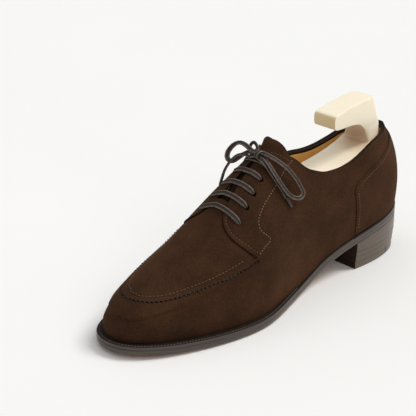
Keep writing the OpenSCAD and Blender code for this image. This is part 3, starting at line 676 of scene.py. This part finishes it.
def tongue_bend(side, t, s):
    """The tongue stands up where it is free of the flaps, most on the inner side, and dips under a lace."""
    u = (1 - t) * np.where(side > HEEL, 1.0, -1.0)
    height = 2.4 * (0.2 + smooth((u + 0.15) / 0.25))
    under = smooth((6.45 - s) / 0.2) * smooth((t - 0.86) / 0.06)
    return height * smooth((s - 5.5 - (2 - t)) / 0.3) - 0.5 * under


tongue_points, ts, _ = saddle(TONGUE_RIM, TONGUE_START, TONGUE_END, 110, 40, -TONGUE_UNDER, tongue_bend,
                              TONGUE_RIM_IN)
tongue = new_mesh("tongue_suede", tongue_points.reshape(-1, 3), grid_faces(*ts.shape, flip=True))
thicken(tongue, 1.2, 0.25, (SUEDE, EDGE_DYE_AND_SHADOW, PAINTED_SHADE_SUEDE))
tongue_s = nearer_side(ts).reshape(-1)
# Painted shade: the tongue under the lacing takes the dark suede in place of the shadow between the flaps.
for f in tongue.data.polygons:
    f.material_index = 2 if min(tongue_s[i] for i in f.vertices) < 6.35 else 0
apply_all(tongue)
dress(tongue, None, "suede", "tongue")

LINING_UNDER = 3.1      # depth of the lining's outer face below the suede's
LINING_FRONT = [[5, 0.5], [5.6, 0.56], [6.4, 0.57], [6.8, 0.59], [6.96, 0.63]]
edge_out, edge_in = [np.concatenate([along(LINING_FRONT, 50), along(line, TOP_COLUMNS)[1:]])
                     for line in (TOPLINE_OUT, TOPLINE_IN)]
lining_edge = np.concatenate([edge_out, inner(edge_in[:-1])[::-1]])
ls = np.repeat(lining_edge[:, :1], 40, 1)
lt = 0.004 + (lining_edge[:, 1:] - 0.024) * np.linspace(0, 1, 40)
lining_points = out_at(ls, lt, np.full(ls.shape, -LINING_UNDER))
sheet("quarter_lining_leather", lining_points, grid_faces(*ls.shape), 1.0, 0.2, LINING, "lining",
      "quarter_lining")


def rounded(a0, a1, b0, b1, r, n=5):
    """Outline of a rectangle with round corners."""
    pts = []
    low_a, high_a, low_b, high_b = a0 + r, a1 - r, b0 + r, b1 - r
    for cx, cy, q0 in ((high_a, high_b, 0), (low_a, high_b, 90), (low_a, low_b, 180), (high_a, low_b, 270)):
        for i in range(n + 1):
            w = math.radians(q0 + 90 * i / n)
            pts.append((cx + r * math.cos(w), cy + r * math.sin(w)))
    return pts


def roll(name, places, profile, mat, slot_name, *nodes):
    """A strip along an edge: profile points are (out, up) in mm from each place on the last."""
    s, t = places.T
    n, c = normal_at(s, t), last_at(s, t)
    tan = unit(np.gradient(c, axis=0))
    up = last_at(s, t + 0.004) - last_at(s, t - 0.004)
    for across in (tan, n):
        up = up - across * np.sum(up * across, 1, keepdims=True)
    up = unit(up)
    return dress(tube(name, np.stack([c + n * a + up * b for a, b in profile], 1)), mat, slot_name, *nodes)


topline_all = np.concatenate([along(TOPLINE_OUT, 260), inner(along(TOPLINE_IN, 260))[::-1][1:]])
roll("topline_binding_leather", topline_all, rounded(-4.2, -1.45, -2.0, 0.0, 0.9), BINDING, "binding",
     "topline_binding")

# ---------------------------------------------------------------- foxing and back strip
FOX_FRONT = [[8.56, 0.004], [8.53, 0.07], [8.48, 0.14], [8.44, 0.2]]
FOX_COLUMNS, FOX_ROWS = 150, 70
foot_s = FOX_FRONT[0][0] + (HEEL - FOX_FRONT[0][0]) * np.linspace(0, 1, FOX_COLUMNS)
foot = np.stack([foot_s, np.full(FOX_COLUMNS, 0.004)], 1)
share = np.linspace(0, 1, FOX_ROWS)[None, :, None]
fox_half = foot[:, None] * (1 - share) + along(FOXING, FOX_COLUMNS)[:, None] * share
fox = np.concatenate([fox_half, inner(fox_half)[::-1][1:]])
fs, ft = fox[..., 0], fox[..., 1]
edge_far = distance_to(points_of(both_sides(FOXING, 0, 400), both_sides(FOX_FRONT, 0, 120)),
                       out_at(fs, ft, np.zeros(fs.shape)))
fox_d = 0.75 + 0.35 * smooth(edge_far / 3.0) - 0.2 * hump(edge_far - 2.0, 0.6)
sheet("counter_foxing_suede", out_at(fs, ft, fox_d), grid_faces(*fs.shape), 0.75, 0.2, (SUEDE, SUEDE),
      "suede", "counter_foxing")

bs, bt = np.meshgrid(np.linspace(HEEL - 0.2, HEEL + 0.2, 16), np.linspace(0.006, 0.44, 60), indexing="ij")
back_d = 1.5 + 0.7 * smooth((0.2 - np.abs(bs - HEEL)) / 0.06)
sheet("back_strip_suede", out_at(bs, bt, back_d), grid_faces(*bs.shape), 0.5, 0.15, (SUEDE, EDGE_DYE_AND_SHADOW), "suede",
      "back_strip")


# ---------------------------------------------------------------- sole and heel
def plan_point(s, d):
    return station(s)[..., :2] + outwards(s) * np.asarray(d)[..., None]


def margin(s):
    """How far the sole stands out past the feather edge."""
    return read_off(MARGIN, station(s)[..., 0])


def on_sole(s, d, h):
    """Points d mm out from the feather edge and h above the sole's curve."""
    p = plan_point(s, d)
    return np.stack([p[:, 0], p[:, 1], sole_z(p[:, 0]) + h], 1)


def sole_strip(name, s, edge, inside, node):
    """Strip of welt leather round the shoe, dark on top: edge points are (out from the sole's finished edge,
    height above the sole's curve), inside points are (out from the feather edge, height)."""
    rings = [on_sole(s, margin(s) + out, h) for out, h in edge]
    rings += [on_sole(s, 0 * s + out, h) for out, h in inside]
    ob = dress(tube(name, np.stack(rings, 1)), SOLE_SIDE, "welt_leather", node)
    paint_where(ob, WELT, lambda f: f.normal.z > 0.55)


def outsole_mesh(profile, half=300, across=14):
    """Points and faces of the outsole: a rim of (out from the finished edge, height) rows along each side,
    then bottom and top faces that join one side to the other."""
    s = np.linspace(0, HEEL, half + 1)
    sides = [np.stack([on_sole(q, margin(q) + out, h) for out, h in profile], 1) for q in (s, ROUND - s)]
    w, k = len(profile), half + 1
    V = [p for side in sides for p in side.reshape(-1, 3)]
    F = []
    for i in range(half):
        for j in range(w - 1):
            a, b = i * w + j, (k + i) * w + j
            F += [(a, a + w, a + w + 1, a + 1), (b, b + 1, b + w + 1, b + w)]
    for j, turn in ((0, 1), (w - 1, -1)):
        rows = []
        for i in range(k):
            a, b = sides[0][i, j], sides[1][i, j]
            rows.append([i * w + j] + [len(V) + q for q in range(across - 1)] + [(k + i) * w + j])
            for q in range(1, across):
                c = a + (b - a) * q / across
                V.append([c[0], c[1], sole_z(c[0]) + profile[j][1]])
        for r0, r1 in zip(rows, rows[1:]):
            F += [(r0[q], r0[q + 1], r1[q + 1], r1[q])[::turn] for q in range(across)]
    return V, F


outsole = new_mesh("outsole_leather", *outsole_mesh([
    (-1.3, 0.0), (-0.7, 0.12), (-0.28, 0.45), (-0.06, 0.95), (0.05, 1.9), (0.06, 2.9), (0.0, 3.7),
    (-0.22, 4.22), (-0.6, OUTSOLE_T)]))
weld(outsole, 0.01)
edit_mesh(outsole, turn_outwards)
dress(outsole, SOLE_SIDE, "sole_leather", "outsole")
paint_where(outsole, SOLE_LEATHER, lambda f: f.normal.z < -0.93)

WELT_END, GAP = 8.5, 0.06
BASE = OUTSOLE_T + GAP
sole_strip("welt_leather", np.linspace(-WELT_END, WELT_END, 520),
           [(-0.55, BASE), (-0.18, 4.46), (0.0, 4.8), (0.05, 5.5), (-0.05, 6.2), (-0.3, 6.7), (-0.75, 6.93),
            (-1.5, 6.9), (-2.1, 6.55), (-2.7, 6.9), (-3.1, 6.92)],
           [(-0.4, 6.85), (-3.0, 6.85), (-3.0, BASE)], "welt")
sole_strip("heel_rand_leather", np.linspace(WELT_END + 0.005, ROUND - WELT_END - 0.005, 200),
           [(-0.5, BASE), (-0.15, 4.46), (0.0, 4.8), (0.03, 5.6), (-0.1, 6.4), (-0.4, 6.8), (-0.9, 6.93)],
           [(-0.2, 6.9), (-3.0, 6.85), (-3.0, BASE)], "heel_rand")

BREAST, TOPLIFT, LIFT, INSET = -78.0, 6.5, 4.5, 0.48
RUBBER_FROM = -118.0    # x of the join in the top piece
JOIN = 0.02             # half the gap between two layers of the heel


def heel_outline(inset):
    """Plan outline of the heel behind the breast, from the outer breast corner round to the inner one."""
    s = np.linspace(7.5, ROUND - 7.5, 1400)
    p = plan_point(s, margin(s) - inset)
    return resample(p[p[:, 0] <= BREAST], 1.0)


def prism(name, outline, low, high, mat, slot_name, node, bevel, curve=None):
    """Block with a flat bottom and a top at high, or at curve(x) + high, and a darker face to the front."""
    n = len(outline)
    top = np.full(n, high) if curve is None else curve(outline[:, 0]) + high
    V = np.concatenate([np.column_stack([outline, z]) for z in (np.full(n, low), top)])
    F = [(i, i + n, (i + 1) % n + n, (i + 1) % n) for i in range(n)]
    for i in range(n // 2 - 1):
        a, b, c, d = i, i + 1, n - 2 - i, n - 1 - i
        if b < c:
            F += [(a, b, c, d), (d + n, c + n, b + n, a + n)]
    ob = new_mesh(name, V, F)

    def close(bm):
        bmesh.ops.remove_doubles(bm, verts=bm.verts, dist=0.001 * MM)
        bmesh.ops.holes_fill(bm, edges=[e for e in bm.edges if e.is_boundary])
        turn_outwards(bm)

    edit_mesh(ob, close)
    soften_edges(ob, bevel, 2, 40)
    dress(ob, mat, slot_name, node)
    paint_where(ob, HEEL_BREAST, lambda f: f.normal.x > 0.8)


for k in (1, 2, 3):
    z = TOPLIFT + (k - 1) * LIFT
    prism("heel_lift_leather_%d" % k, heel_outline(INSET * (3.5 - k)), z + JOIN, z + LIFT - JOIN, HEEL_SIDE,
          "heel_leather", "heel_lift_%d" % k, 0.08)
prism("heel_wedge_leather", heel_outline(0.1), TOPLIFT + 3 * LIFT + JOIN, -JOIN, HEEL_SIDE, "heel_leather",
      "heel_wedge", 0.15, sole_z)
top_piece = heel_outline(INSET * 3.5)
half = len(top_piece) // 2
in_front = [side[side[:, 0] >= RUBBER_FROM + 0.05] for side in (top_piece[:half], top_piece[half:])]
prism("toplift_leather_front", np.concatenate([resample(side, 1.0) for side in in_front]), 0.0,
      TOPLIFT - JOIN, HEEL_SIDE, "heel_leather", "toplift_leather", 0.06)
prism("toplift_rubber_rear", top_piece[top_piece[:, 0] <= RUBBER_FROM - 0.05], 0.0, TOPLIFT - JOIN,
      HEEL_SIDE, "rubber", "toplift_rubber", 0.06)


# ---------------------------------------------------------------- shoe tree
# Side outlines (x, z) of the block with its saddle, and of the neck with the handle
SADDLE_SIDE = [[-126, 46], [-128.1, 60], [-128.1, 88], [-124, 92], [-110, 96], [-106.5, 95], [-102, 92.8],
               [-92, 89.5], [-76, 86], [-58, 83.5], [-42, 82], [-40, 80], [-40, 40], [-60, 36], [-78, 37.5],
               [-112, 43]]
NECK_SIDE = [[-129, 80], [-129, 112], [-126, 120], [-122.5, 127.5], [-118, 131], [-108, 131], [-90, 129],
             [-72, 125.5], [-70, 123.5], [-70, 115], [-72.5, 113.5], [-94, 113], [-100, 111.5], [-105, 107],
             [-108, 100], [-109, 90], [-109, 80]]


def block_of(name, outline, along_y, low, high):
    """Prism of a side outline (x, z) or plan outline (x, y), between two places along the third axis."""
    bm = bmesh.new()

    def face(w):
        return [bm.verts.new(Vector((x, w, v) if along_y else (x, v, w)) * MM) for x, v in outline]

    a, b = face(low), face(high)
    bm.faces.new(a)
    bm.faces.new(b[::-1])
    n = len(outline)
    for i in range(n):
        bm.faces.new((a[i], b[i], b[(i + 1) % n], a[(i + 1) % n]))
    turn_outwards(bm)
    return tool_from(name, bm)


def hull_of(name, points):
    """Convex hull of points in mm."""
    bm = bmesh.new()
    for p in points:
        bm.verts.new(Vector(p) * MM)
    res = bmesh.ops.convex_hull(bm, input=bm.verts)
    bmesh.ops.delete(bm, geom=[g for g in res["geom_interior"] if isinstance(g, bmesh.types.BMVert)],
                     context="VERTS")
    return tool_from(name, bm)


def corners_rounded(outline, radius):
    """An outline with each corner cut by a short arc; radius is a function of the corner."""
    P = np.asarray(outline, float)
    out = []
    for a, b, c in zip(np.roll(P, 1, 0), P, np.roll(P, -1, 0)):
        lu, lv = np.linalg.norm(a - b), np.linalg.norm(c - b)
        r = min(radius(b), lu * 0.45, lv * 0.45)
        p0, p1 = b + (a - b) / lu * r, b + (c - b) / lv * r
        out += [(1 - w) ** 2 * p0 + 2 * w * (1 - w) * b + w * w * p1 for w in np.linspace(0, 1, 6)]
    return out


def arc(cx, r, q0, q1, n):
    """Points in plan on an arc about (cx, 0), between two angles in degrees."""
    return [(cx + r * math.cos(w), r * math.sin(w)) for w in np.radians(np.linspace(q0, q1, n))]


def disc(cx, r, z, back=None, half=99.0):
    """Points of a flat disc, kept behind x = back and within half of the middle plane."""
    return [(x if back is None else min(x, back), max(-half, min(half, y)), z)
            for x, y in arc(cx, r, 0, 360, 65)[:-1]]


def slot_cutter(name, x0, x1, half):
    """Cutter for part of the T-shaped slot up the front of the block."""
    return block_of(name, [(x0, -half), (x1, -half), (x1, half), (x0, half)], False, 20, SLOT_TOP)


# Radius and middle of the round back of the block, of the neck at the topline and of the handle's back
BLOCK_BACK, NECK_BACK, HANDLE_BACK = (-112.5, 14.8), (-115.6, 12.4), (-108.5, 12)
NECK_FRONT, SLOT_TOP = -108, 74.06
plan = arc(*BLOCK_BACK, 90, 270, 33) + arc(-55, 15, -90, 90, 33)
block = block_of("tree_heel_block", plan, False, 30, 103)
boolean(block, block_of("side_cut", corners_rounded(SADDLE_SIDE, lambda p: 5.0), True, -30, 30), "INTERSECT")
neck = corners_rounded(NECK_SIDE, lambda p: 1.2 if p[0] > -75 else 4.0)
handle = block_of("handle_block", neck, True, -11, 11)
# The envelope is round at the back and leans forwards as it rises; the neck widens below the handle
envelope = [(x, y, z) for x in (-72, -69) for y in (-15, 15) for z in (70, 132)]
for back, z in ((NECK_BACK, 70), (NECK_BACK, 108), (HANDLE_BACK, 130), (HANDLE_BACK, 132)):
    envelope += disc(*back, z)
boolean(handle, hull_of("neck_envelope", envelope), "INTERSECT")
boolean(block, handle, "UNION")
flare = (disc(*BLOCK_BACK, 84, NECK_FRONT) + disc(*BLOCK_BACK, 90, NECK_FRONT)
         + disc(*NECK_BACK, 108, NECK_FRONT, 11))
boolean(block, hull_of("neck_flare", flare), "UNION")
boolean(block, slot_cutter("slot_cut", -46.1, -36, 3.06), "DIFFERENCE")
boolean(block, slot_cutter("head_cut", -50, -45.9, 5.06), "DIFFERENCE")
m = block.modifiers.new("remesh", "REMESH")
m.mode = "VOXEL"
m.voxel_size = 0.5 * MM
m.use_smooth_shade = True
m = block.modifiers.new("soften", "SMOOTH")
m.factor = 0.5
m.iterations = 5
apply_all(block)
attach(block, TREE)
# The tree's cream paint carries painted shade under the handle and at the neck.
dress(block, TREE_PAINT_AND_SHADE, "tree", "tree_heel")
# Painted shade: faces of the handle that look forwards take the darker tan.
paint_where(block, TREE_FRONT_SHADE, lambda f: f.normal.x > 0.7 and f.center.z > 110 * MM and f.center.x > -80 * MM)

# ---------------------------------------------------------------- laces
LOOP_OUT = [[5.3, 8.6, 112.4], [5.4, 11.5, 110.9], [5.6, 16, 107.4], [5.2, 21, 102], [3.6, 25.5, 95.8],
            [1.6, 28.8, 90.4], [-1.4, 31.4, 86.2], [-6, 32.8, 83.6], [-10.5, 33, 83.4], [-13, 32.3, 86],
            [-12, 30.9, 90], [-9.5, 28.2, 96.6], [-5.4, 23.6, 104.4], [-0.4, 18, 110.4], [2.4, 13, 113.3],
            [4, 8.6, 114.8]]
LOOP_IN = [[5.5, -2.6, 114.2], [4.5, -7, 115], [3, -12, 115.6], [1.5, -17, 115.4], [0.8, -21.4, 114.6],
           [0.9, -25.4, 112.6], [2.2, -28.4, 109.6], [4.4, -29.8, 106], [6.4, -28.8, 102.6],
           [7.2, -25.6, 100.8], [6.8, -21.6, 101.6], [5.4, -17.6, 104.8], [4.4, -13, 108.6],
           [4.4, -7.5, 111.9], [4.8, -2.6, 112.8]]
TAIL_OUT = [[7.9, 8.6, 110.6], [7.5, 12.5, 108.2], [6.6, 17, 103.6], [4.7, 22.6, 96.2], [2.9, 26, 90.6],
            [1, 28.8, 84.6]]
TAIL_IN = [[8, -2.6, 110.4], [7.8, -7, 110.5], [7.8, -11.5, 109.8], [8.5, -16, 107.8], [10.5, -19.5, 104],
           [12.5, -22, 99.5], [14.3, -23.5, 95], [15.5, -24.2, 91]]


def ribbon_profile(w, t, n=36):
    """Section of a flat lace with a bead along each side and a hollow down the middle of both faces."""
    q = 2 * math.pi * np.arange(n) / n
    x, y = np.cos(q), np.sin(q)
    bead = 0.62 + 0.38 * hump(np.abs(x) - 0.68, 0.24)
    return np.stack([x * w / 2, np.where(y > 0, 1, -1) * np.abs(y) ** 0.7 * t / 2 * bead], 1)


def ribbon(name, line, normals, w=3.6, t=1.5, taper=None):
    """Flat lace swept along a line, with the direction it faces at each point."""
    P = np.asarray(line, float)
    tan = unit(np.gradient(P, axis=0))
    x = unit(np.cross(tan, normals))
    y = np.cross(x, tan)
    section = ribbon_profile(w, t)
    k = np.ones(len(P)) if taper is None else taper
    uneven = 1 + 0.03 * np.sin(np.arange(len(P)) * 1.7)
    V = (P[:, None] + x[:, None] * section[:, :1] * (k * uneven)[:, None, None]
         + y[:, None] * section[:, 1:] * (0.6 + 0.4 * k)[:, None, None])
    ob = dress(tube(name, V), LACE, "lace")
    # Painted shade: faces in the hollow between the beads take the darker lace colour.
    ob.data.materials.append(GROOVE_SHADE)
    hollow = np.abs(section[:, 0] + np.roll(section[:, 0], -1)) < 0.5 * w
    ob.data.polygons.foreach_set("material_index", hollow.astype(int).tolist() * (len(P) - 1) + [0, 0])
    return ob


def aglet_on(name, line, hint, length, n=18):
    """Hard round tip on the end of a lace."""
    d = unit(line[-1] - line[-3])
    x = unit(np.cross(d, hint))
    y = np.cross(x, d)
    q = 2 * math.pi * np.arange(n)[:, None] / n
    rings = [line[-1] + d * u + (x * np.cos(q) + y * np.sin(q)) * r for u, r in (
        (-0.6, 1.15), (0.0, 1.2), (0.4, 1.15), (length - 0.5, 1.05), (length - 0.1, 0.85), (length, 0.5))]
    return dress(tube(name, np.array(rings)), AGLET, "aglet", "aglets")


def free_lace(node, route, hint, aglet_len, w):
    """A loop or tail of the bow as a lace ribbon, facing the way hint says."""
    name = node + "_ribbon"
    line = resample(catmull(route, 16), 0.8)
    ob = ribbon(name, line, np.tile(np.asarray(hint, float), (len(line), 1)), w=w, t=1.3)
    pieces = [aglet_on(name + "_aglet", line, hint, aglet_len)] if aglet_len else []
    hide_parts(node)


free_lace("lace_loop_lateral", LOOP_OUT, [0.2, 0.75, 0.6], 0.0, 3.4)
free_lace("lace_loop_medial", LOOP_IN, [0.45, 0.5, 0.7], 0.0, 4.0)
free_lace("lace_tail_lateral", TAIL_OUT, [0.2, 0.75, 0.6], 8.0, 2.7)
free_lace("lace_tail_medial", TAIL_IN, [0.5, 0.1, 0.8], 8.0, 2.7)


def bar_line(k, rise=0.8, dive=2.4):
    """Line and facing of one lace bar, diving into its two eyelets."""
    pts, nor = [], []
    middle = (EYELETS[k][0] + EYELETS_IN[k][0]) / 2
    for side, (s0, t0) in enumerate((EYELETS[k], EYELETS_IN[k])):
        w = np.linspace(0, 1, 16)
        q = s0 + (middle - s0) * w
        s = ROUND - q if side else q
        t = t0 + 0.014 + (0.985 - t0 - 0.014) * w
        p = out_at(s, t, flap_rise(s, t) + rise)
        n = normal_at(s, t)
        slide = unit(p[1] - p[0])
        hole_t, hole_d = t0 + np.array([0.004, 0.006]), flap_rise(s[0], t0) + np.array([-dive, -0.3])
        in_hole = out_at(s[0], hole_t, hole_d)
        turn = -1 if side else 1
        pts.append(np.concatenate([in_hole, p[1:]])[::turn])
        nor.append(np.concatenate([[n[0] * 0.35 - slide, n[0] - slide * 0.7], n[1:]])[::turn])
    P, Nn = np.concatenate(pts), np.concatenate(nor)
    fine = catmull(P, 3)
    u = np.linspace(0, len(P) - 1, len(fine))
    return fine, np.stack([np.interp(u, np.arange(len(P)), column) for column in Nn.T], 1)


def bar(k, name):
    P, Nn = bar_line(k)
    L = run_along(P)
    taper = 0.55 + 0.45 * smooth((np.minimum(L, L[-1] - L) - 1.5) / 5.0)
    return ribbon(name, P, Nn, w=4.2, taper=taper)


bars = [bar(k, "lace_bar_%d" % (k + 1)) for k in range(4)]
for b in bars:
    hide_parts("lace_bars")
knot_bar = bar(4, "lace_knot_bar")


def band(name, route, facing, w=3.3, t=1.4):
    """Short length of lace along a given route."""
    line = resample(catmull(route, 6), 0.5)
    return ribbon(name, line, np.tile(facing, (len(line), 1)), w=w, t=t)


# The knot: a wrap over the middle, two bands that join the loops and one that joins the tails
KNOT = np.array([5.4, 5.2, 113.4])
turn = np.radians(np.linspace(-75, 255, 60))
wrap = KNOT + np.stack([3.7 * np.cos(turn), np.linspace(-0.9, 0.9, 60), 2.6 * np.sin(turn)], 1)
knot_wrap = ribbon("lace_knot_wrap", wrap, wrap - KNOT, w=3.8, t=1.3)
knot_over = band("lace_knot_over", [[5.5, -2.6, 114.2], [5.5, -0.8, 114.6], [5.3, 1.2, 114.8],
                                    [5.0, 3, 114.9], [4.6, 5.5, 115], [4, 8.6, 114.8]], [0.35, 0.2, 0.9],
                 w=4.0)
knot_under = band("lace_knot_under", [[4.8, -2.6, 112.8], [5, 0, 112.9], [5.1, 3, 112.9], [5.2, 6, 112.7],
                                      [5.3, 8.6, 112.4]], [0.2, 0, 1.0])
knot_base = band("lace_knot_base", [[8, -2.6, 110.4], [7.6, 0, 111.4], [7.2, 3, 111.9], [7.4, 6, 111.4],
                                    [7.9, 8.6, 110.6]], [0.6, 0, 1.0], w=2.8)
# A short turn of lace that stands up behind the knot
knot_turn = band("lace_knot_turn", [[2, -10.5, 113.2], [0, -10.4, 114.8], [-0.5, -9.3, 116.9],
                                    [-1, -7.3, 118], [-0.5, -4.6, 117.2], [0.5, -2.2, 115.2],
                                    [2.4, 0.4, 113.4]], [1, 0.3, 0.3], w=2.6, t=1.2)
for o in (knot_bar, knot_wrap, knot_over, knot_under, knot_base, knot_turn):
    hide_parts("lace_knot")

# ---------------------------------------------------------------- stitch rows
for name, lines, spacing, size, mat in (
        ("apron", both_sides(APRON_ROW, 0.05, 400, APRON_ROW_IN), 2.7, 0.30, THREAD),
        ("flap_front", both_sides(ROW_FRONT, -0.02, 200), 2.5, 0.27, THREAD),
        ("flap_gap", both_sides(ROW_GAP, -0.02, 200), 2.5, 0.25, SEAM_THREAD),
        ("flap_top", both_sides(ROW_TOP, -0.02, 200), 2.4, 0.25, THREAD),
        ("facing_rear", both_sides(ROW_REAR, 0.0, 400), 2.4, 0.26, FACING_THREAD),
        ("topline", both_sides(ROW_TOPLINE_OUT, -0.02, 500, ROW_TOPLINE_IN), 2.5, 0.24, SEAM_THREAD)):
    stitches("stitch_" + name, lines, spacing, size, mat, "suede")
FOX_ROW = [[8.62, 0.02], [8.6, 0.08], [8.56, 0.14], [8.53, 0.185], [8.64, 0.212], [8.98, 0.248],
           [9.42, 0.292], [9.82, 0.337], [10.3, 0.382], [10.78, 0.402]]
stitches("stitch_foxing", both_sides(FOX_ROW, 0.95, 400), 2.5, 0.27, FACING_THREAD, "suede")
for s, name in ((HEEL - 0.14, "outer"), (HEEL + 0.14, "inner")):
    stitches("stitch_back_" + name, [surface_line([[s, 0.02], [s, 0.22], [s, 0.42]], 2.2, 120)], 2.5, 0.25,
             SEAM_THREAD, "suede")
# The hand-sewn seam round the apron: short dark stitches that cross it at a slant
seam_row = [[p[0], p[1] + 0.001] for p in SEAM[:-1]] + [[4.96, 0.375]]
stitches("seam_apron", both_sides(seam_row, 0.1, 900), 3.2, 0.6, SEAM_THREAD, "suede", slant=1.0, share=1.0)
s = np.linspace(-6.6, 6.6, 900)
WELT_ROW_IN, WELT_ROW_H = 2.1, 6.85    # the row's place in from the sole's edge and above its curve
on_welt = on_sole(s, margin(s) - WELT_ROW_IN, WELT_ROW_H)
stitches("stitch_welt", [(on_welt, np.tile([0.0, 0.0, 1.0], (len(s), 1)))], 2.3, 0.42, WELT_THREAD,
         "welt_leather", share=0.72)

# ---------------------------------------------------------------- finishes of the CAD pieces that are kept
FINISHES = {"insole": INSOLE, "insole_rib": STIFFENER, "cork_filler": CORK, "shank": STEEL,
            "sock_liner": LINING, "vamp_lining": LINING, "toe_puff": STIFFENER, "heel_counter": STIFFENER,
            "facing_stays": STIFFENER, "heel_nails": NAIL, "tree_forepart": TREE_PAINT_AND_SHADE}
for name, mat in FINISHES.items():
    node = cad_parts[name]
    node.data.materials.clear()
    node.data.materials.append(mat)

# ---------------------------------------------------------------- camera, light, floor
AZ, EL, ROLL, DIST = math.radians(47.72), math.radians(23.41), math.radians(-0.75), 1013.87
TARGET = np.array([-14.55, -74.15, 40.0])
SENSOR, LENS = 36, 108.17308
back = np.array([math.cos(AZ) * math.cos(EL), math.sin(AZ) * math.cos(EL), math.sin(EL)])
level = np.array([-math.sin(AZ), math.cos(AZ), 0.0])
upright = np.cross(back, level)
axes = [math.cos(ROLL) * level + math.sin(ROLL) * upright,
        math.cos(ROLL) * upright - math.sin(ROLL) * level, back]
cam_data = bpy.data.cameras.new("camera")
cam_data.sensor_width = SENSOR
cam_data.lens = LENS
cam_data.clip_start, cam_data.clip_end = 0.01, 20
camera = link("camera", cam_data)
place = (TARGET + back * DIST) * MM
camera.matrix_world = Matrix(np.vstack([np.column_stack(axes + [place]), [0, 0, 0, 1]]).tolist())
bpy.context.scene.camera = camera


def sun(name, direction, strength, spread, colour=(1, 1, 1)):
    """Soft distant light from a direction, spread degrees wide."""
    data = bpy.data.lights.new(name, "SUN")
    data.energy = strength
    data.angle = math.radians(spread)
    data.color = colour
    link(name, data).rotation_euler = Vector(direction).normalized().to_track_quat("Z", "Y").to_euler()


sun("key", (-0.6, 0.4, 1.0), 1.7, 24, (1.0, 0.99, 0.97))
sun("fill", (0.35, 0.9, 0.7), 0.5, 40, (1.0, 0.98, 0.95))
sun("top", (-0.1, -0.1, 1.0), 0.35, 60)
world = bpy.data.worlds.new("studio")
bpy.context.scene.world = world
world.use_nodes = True
sky = world.node_tree
height = add_node(sky, "SeparateXYZ", {"Vector": add_node(sky, "TexCoord", {}, "Generated")}, "Z")
glow = add_node(sky, "MapRange", {"Value": height, "To Min": 0.22, "To Max": 0.55})
feed(sky, sky.nodes["Background"], {"Strength": glow, "Color": (1, 1, 1, 1)})
me = bpy.data.meshes.new("floor")
me.from_pydata([(-6, -6, 0), (6, -6, 0), (6, 6, 0), (-6, 6, 0)], [], [(0, 1, 2, 3)])
me.materials.append(material("floor", "#efefee", "#f2f2f1", rough=0.9, scale=2, spec=0.1))
floor = link("floor", me)
floor.location.z = -0.0004
bpy.context.scene.view_settings.view_transform = "Standard"
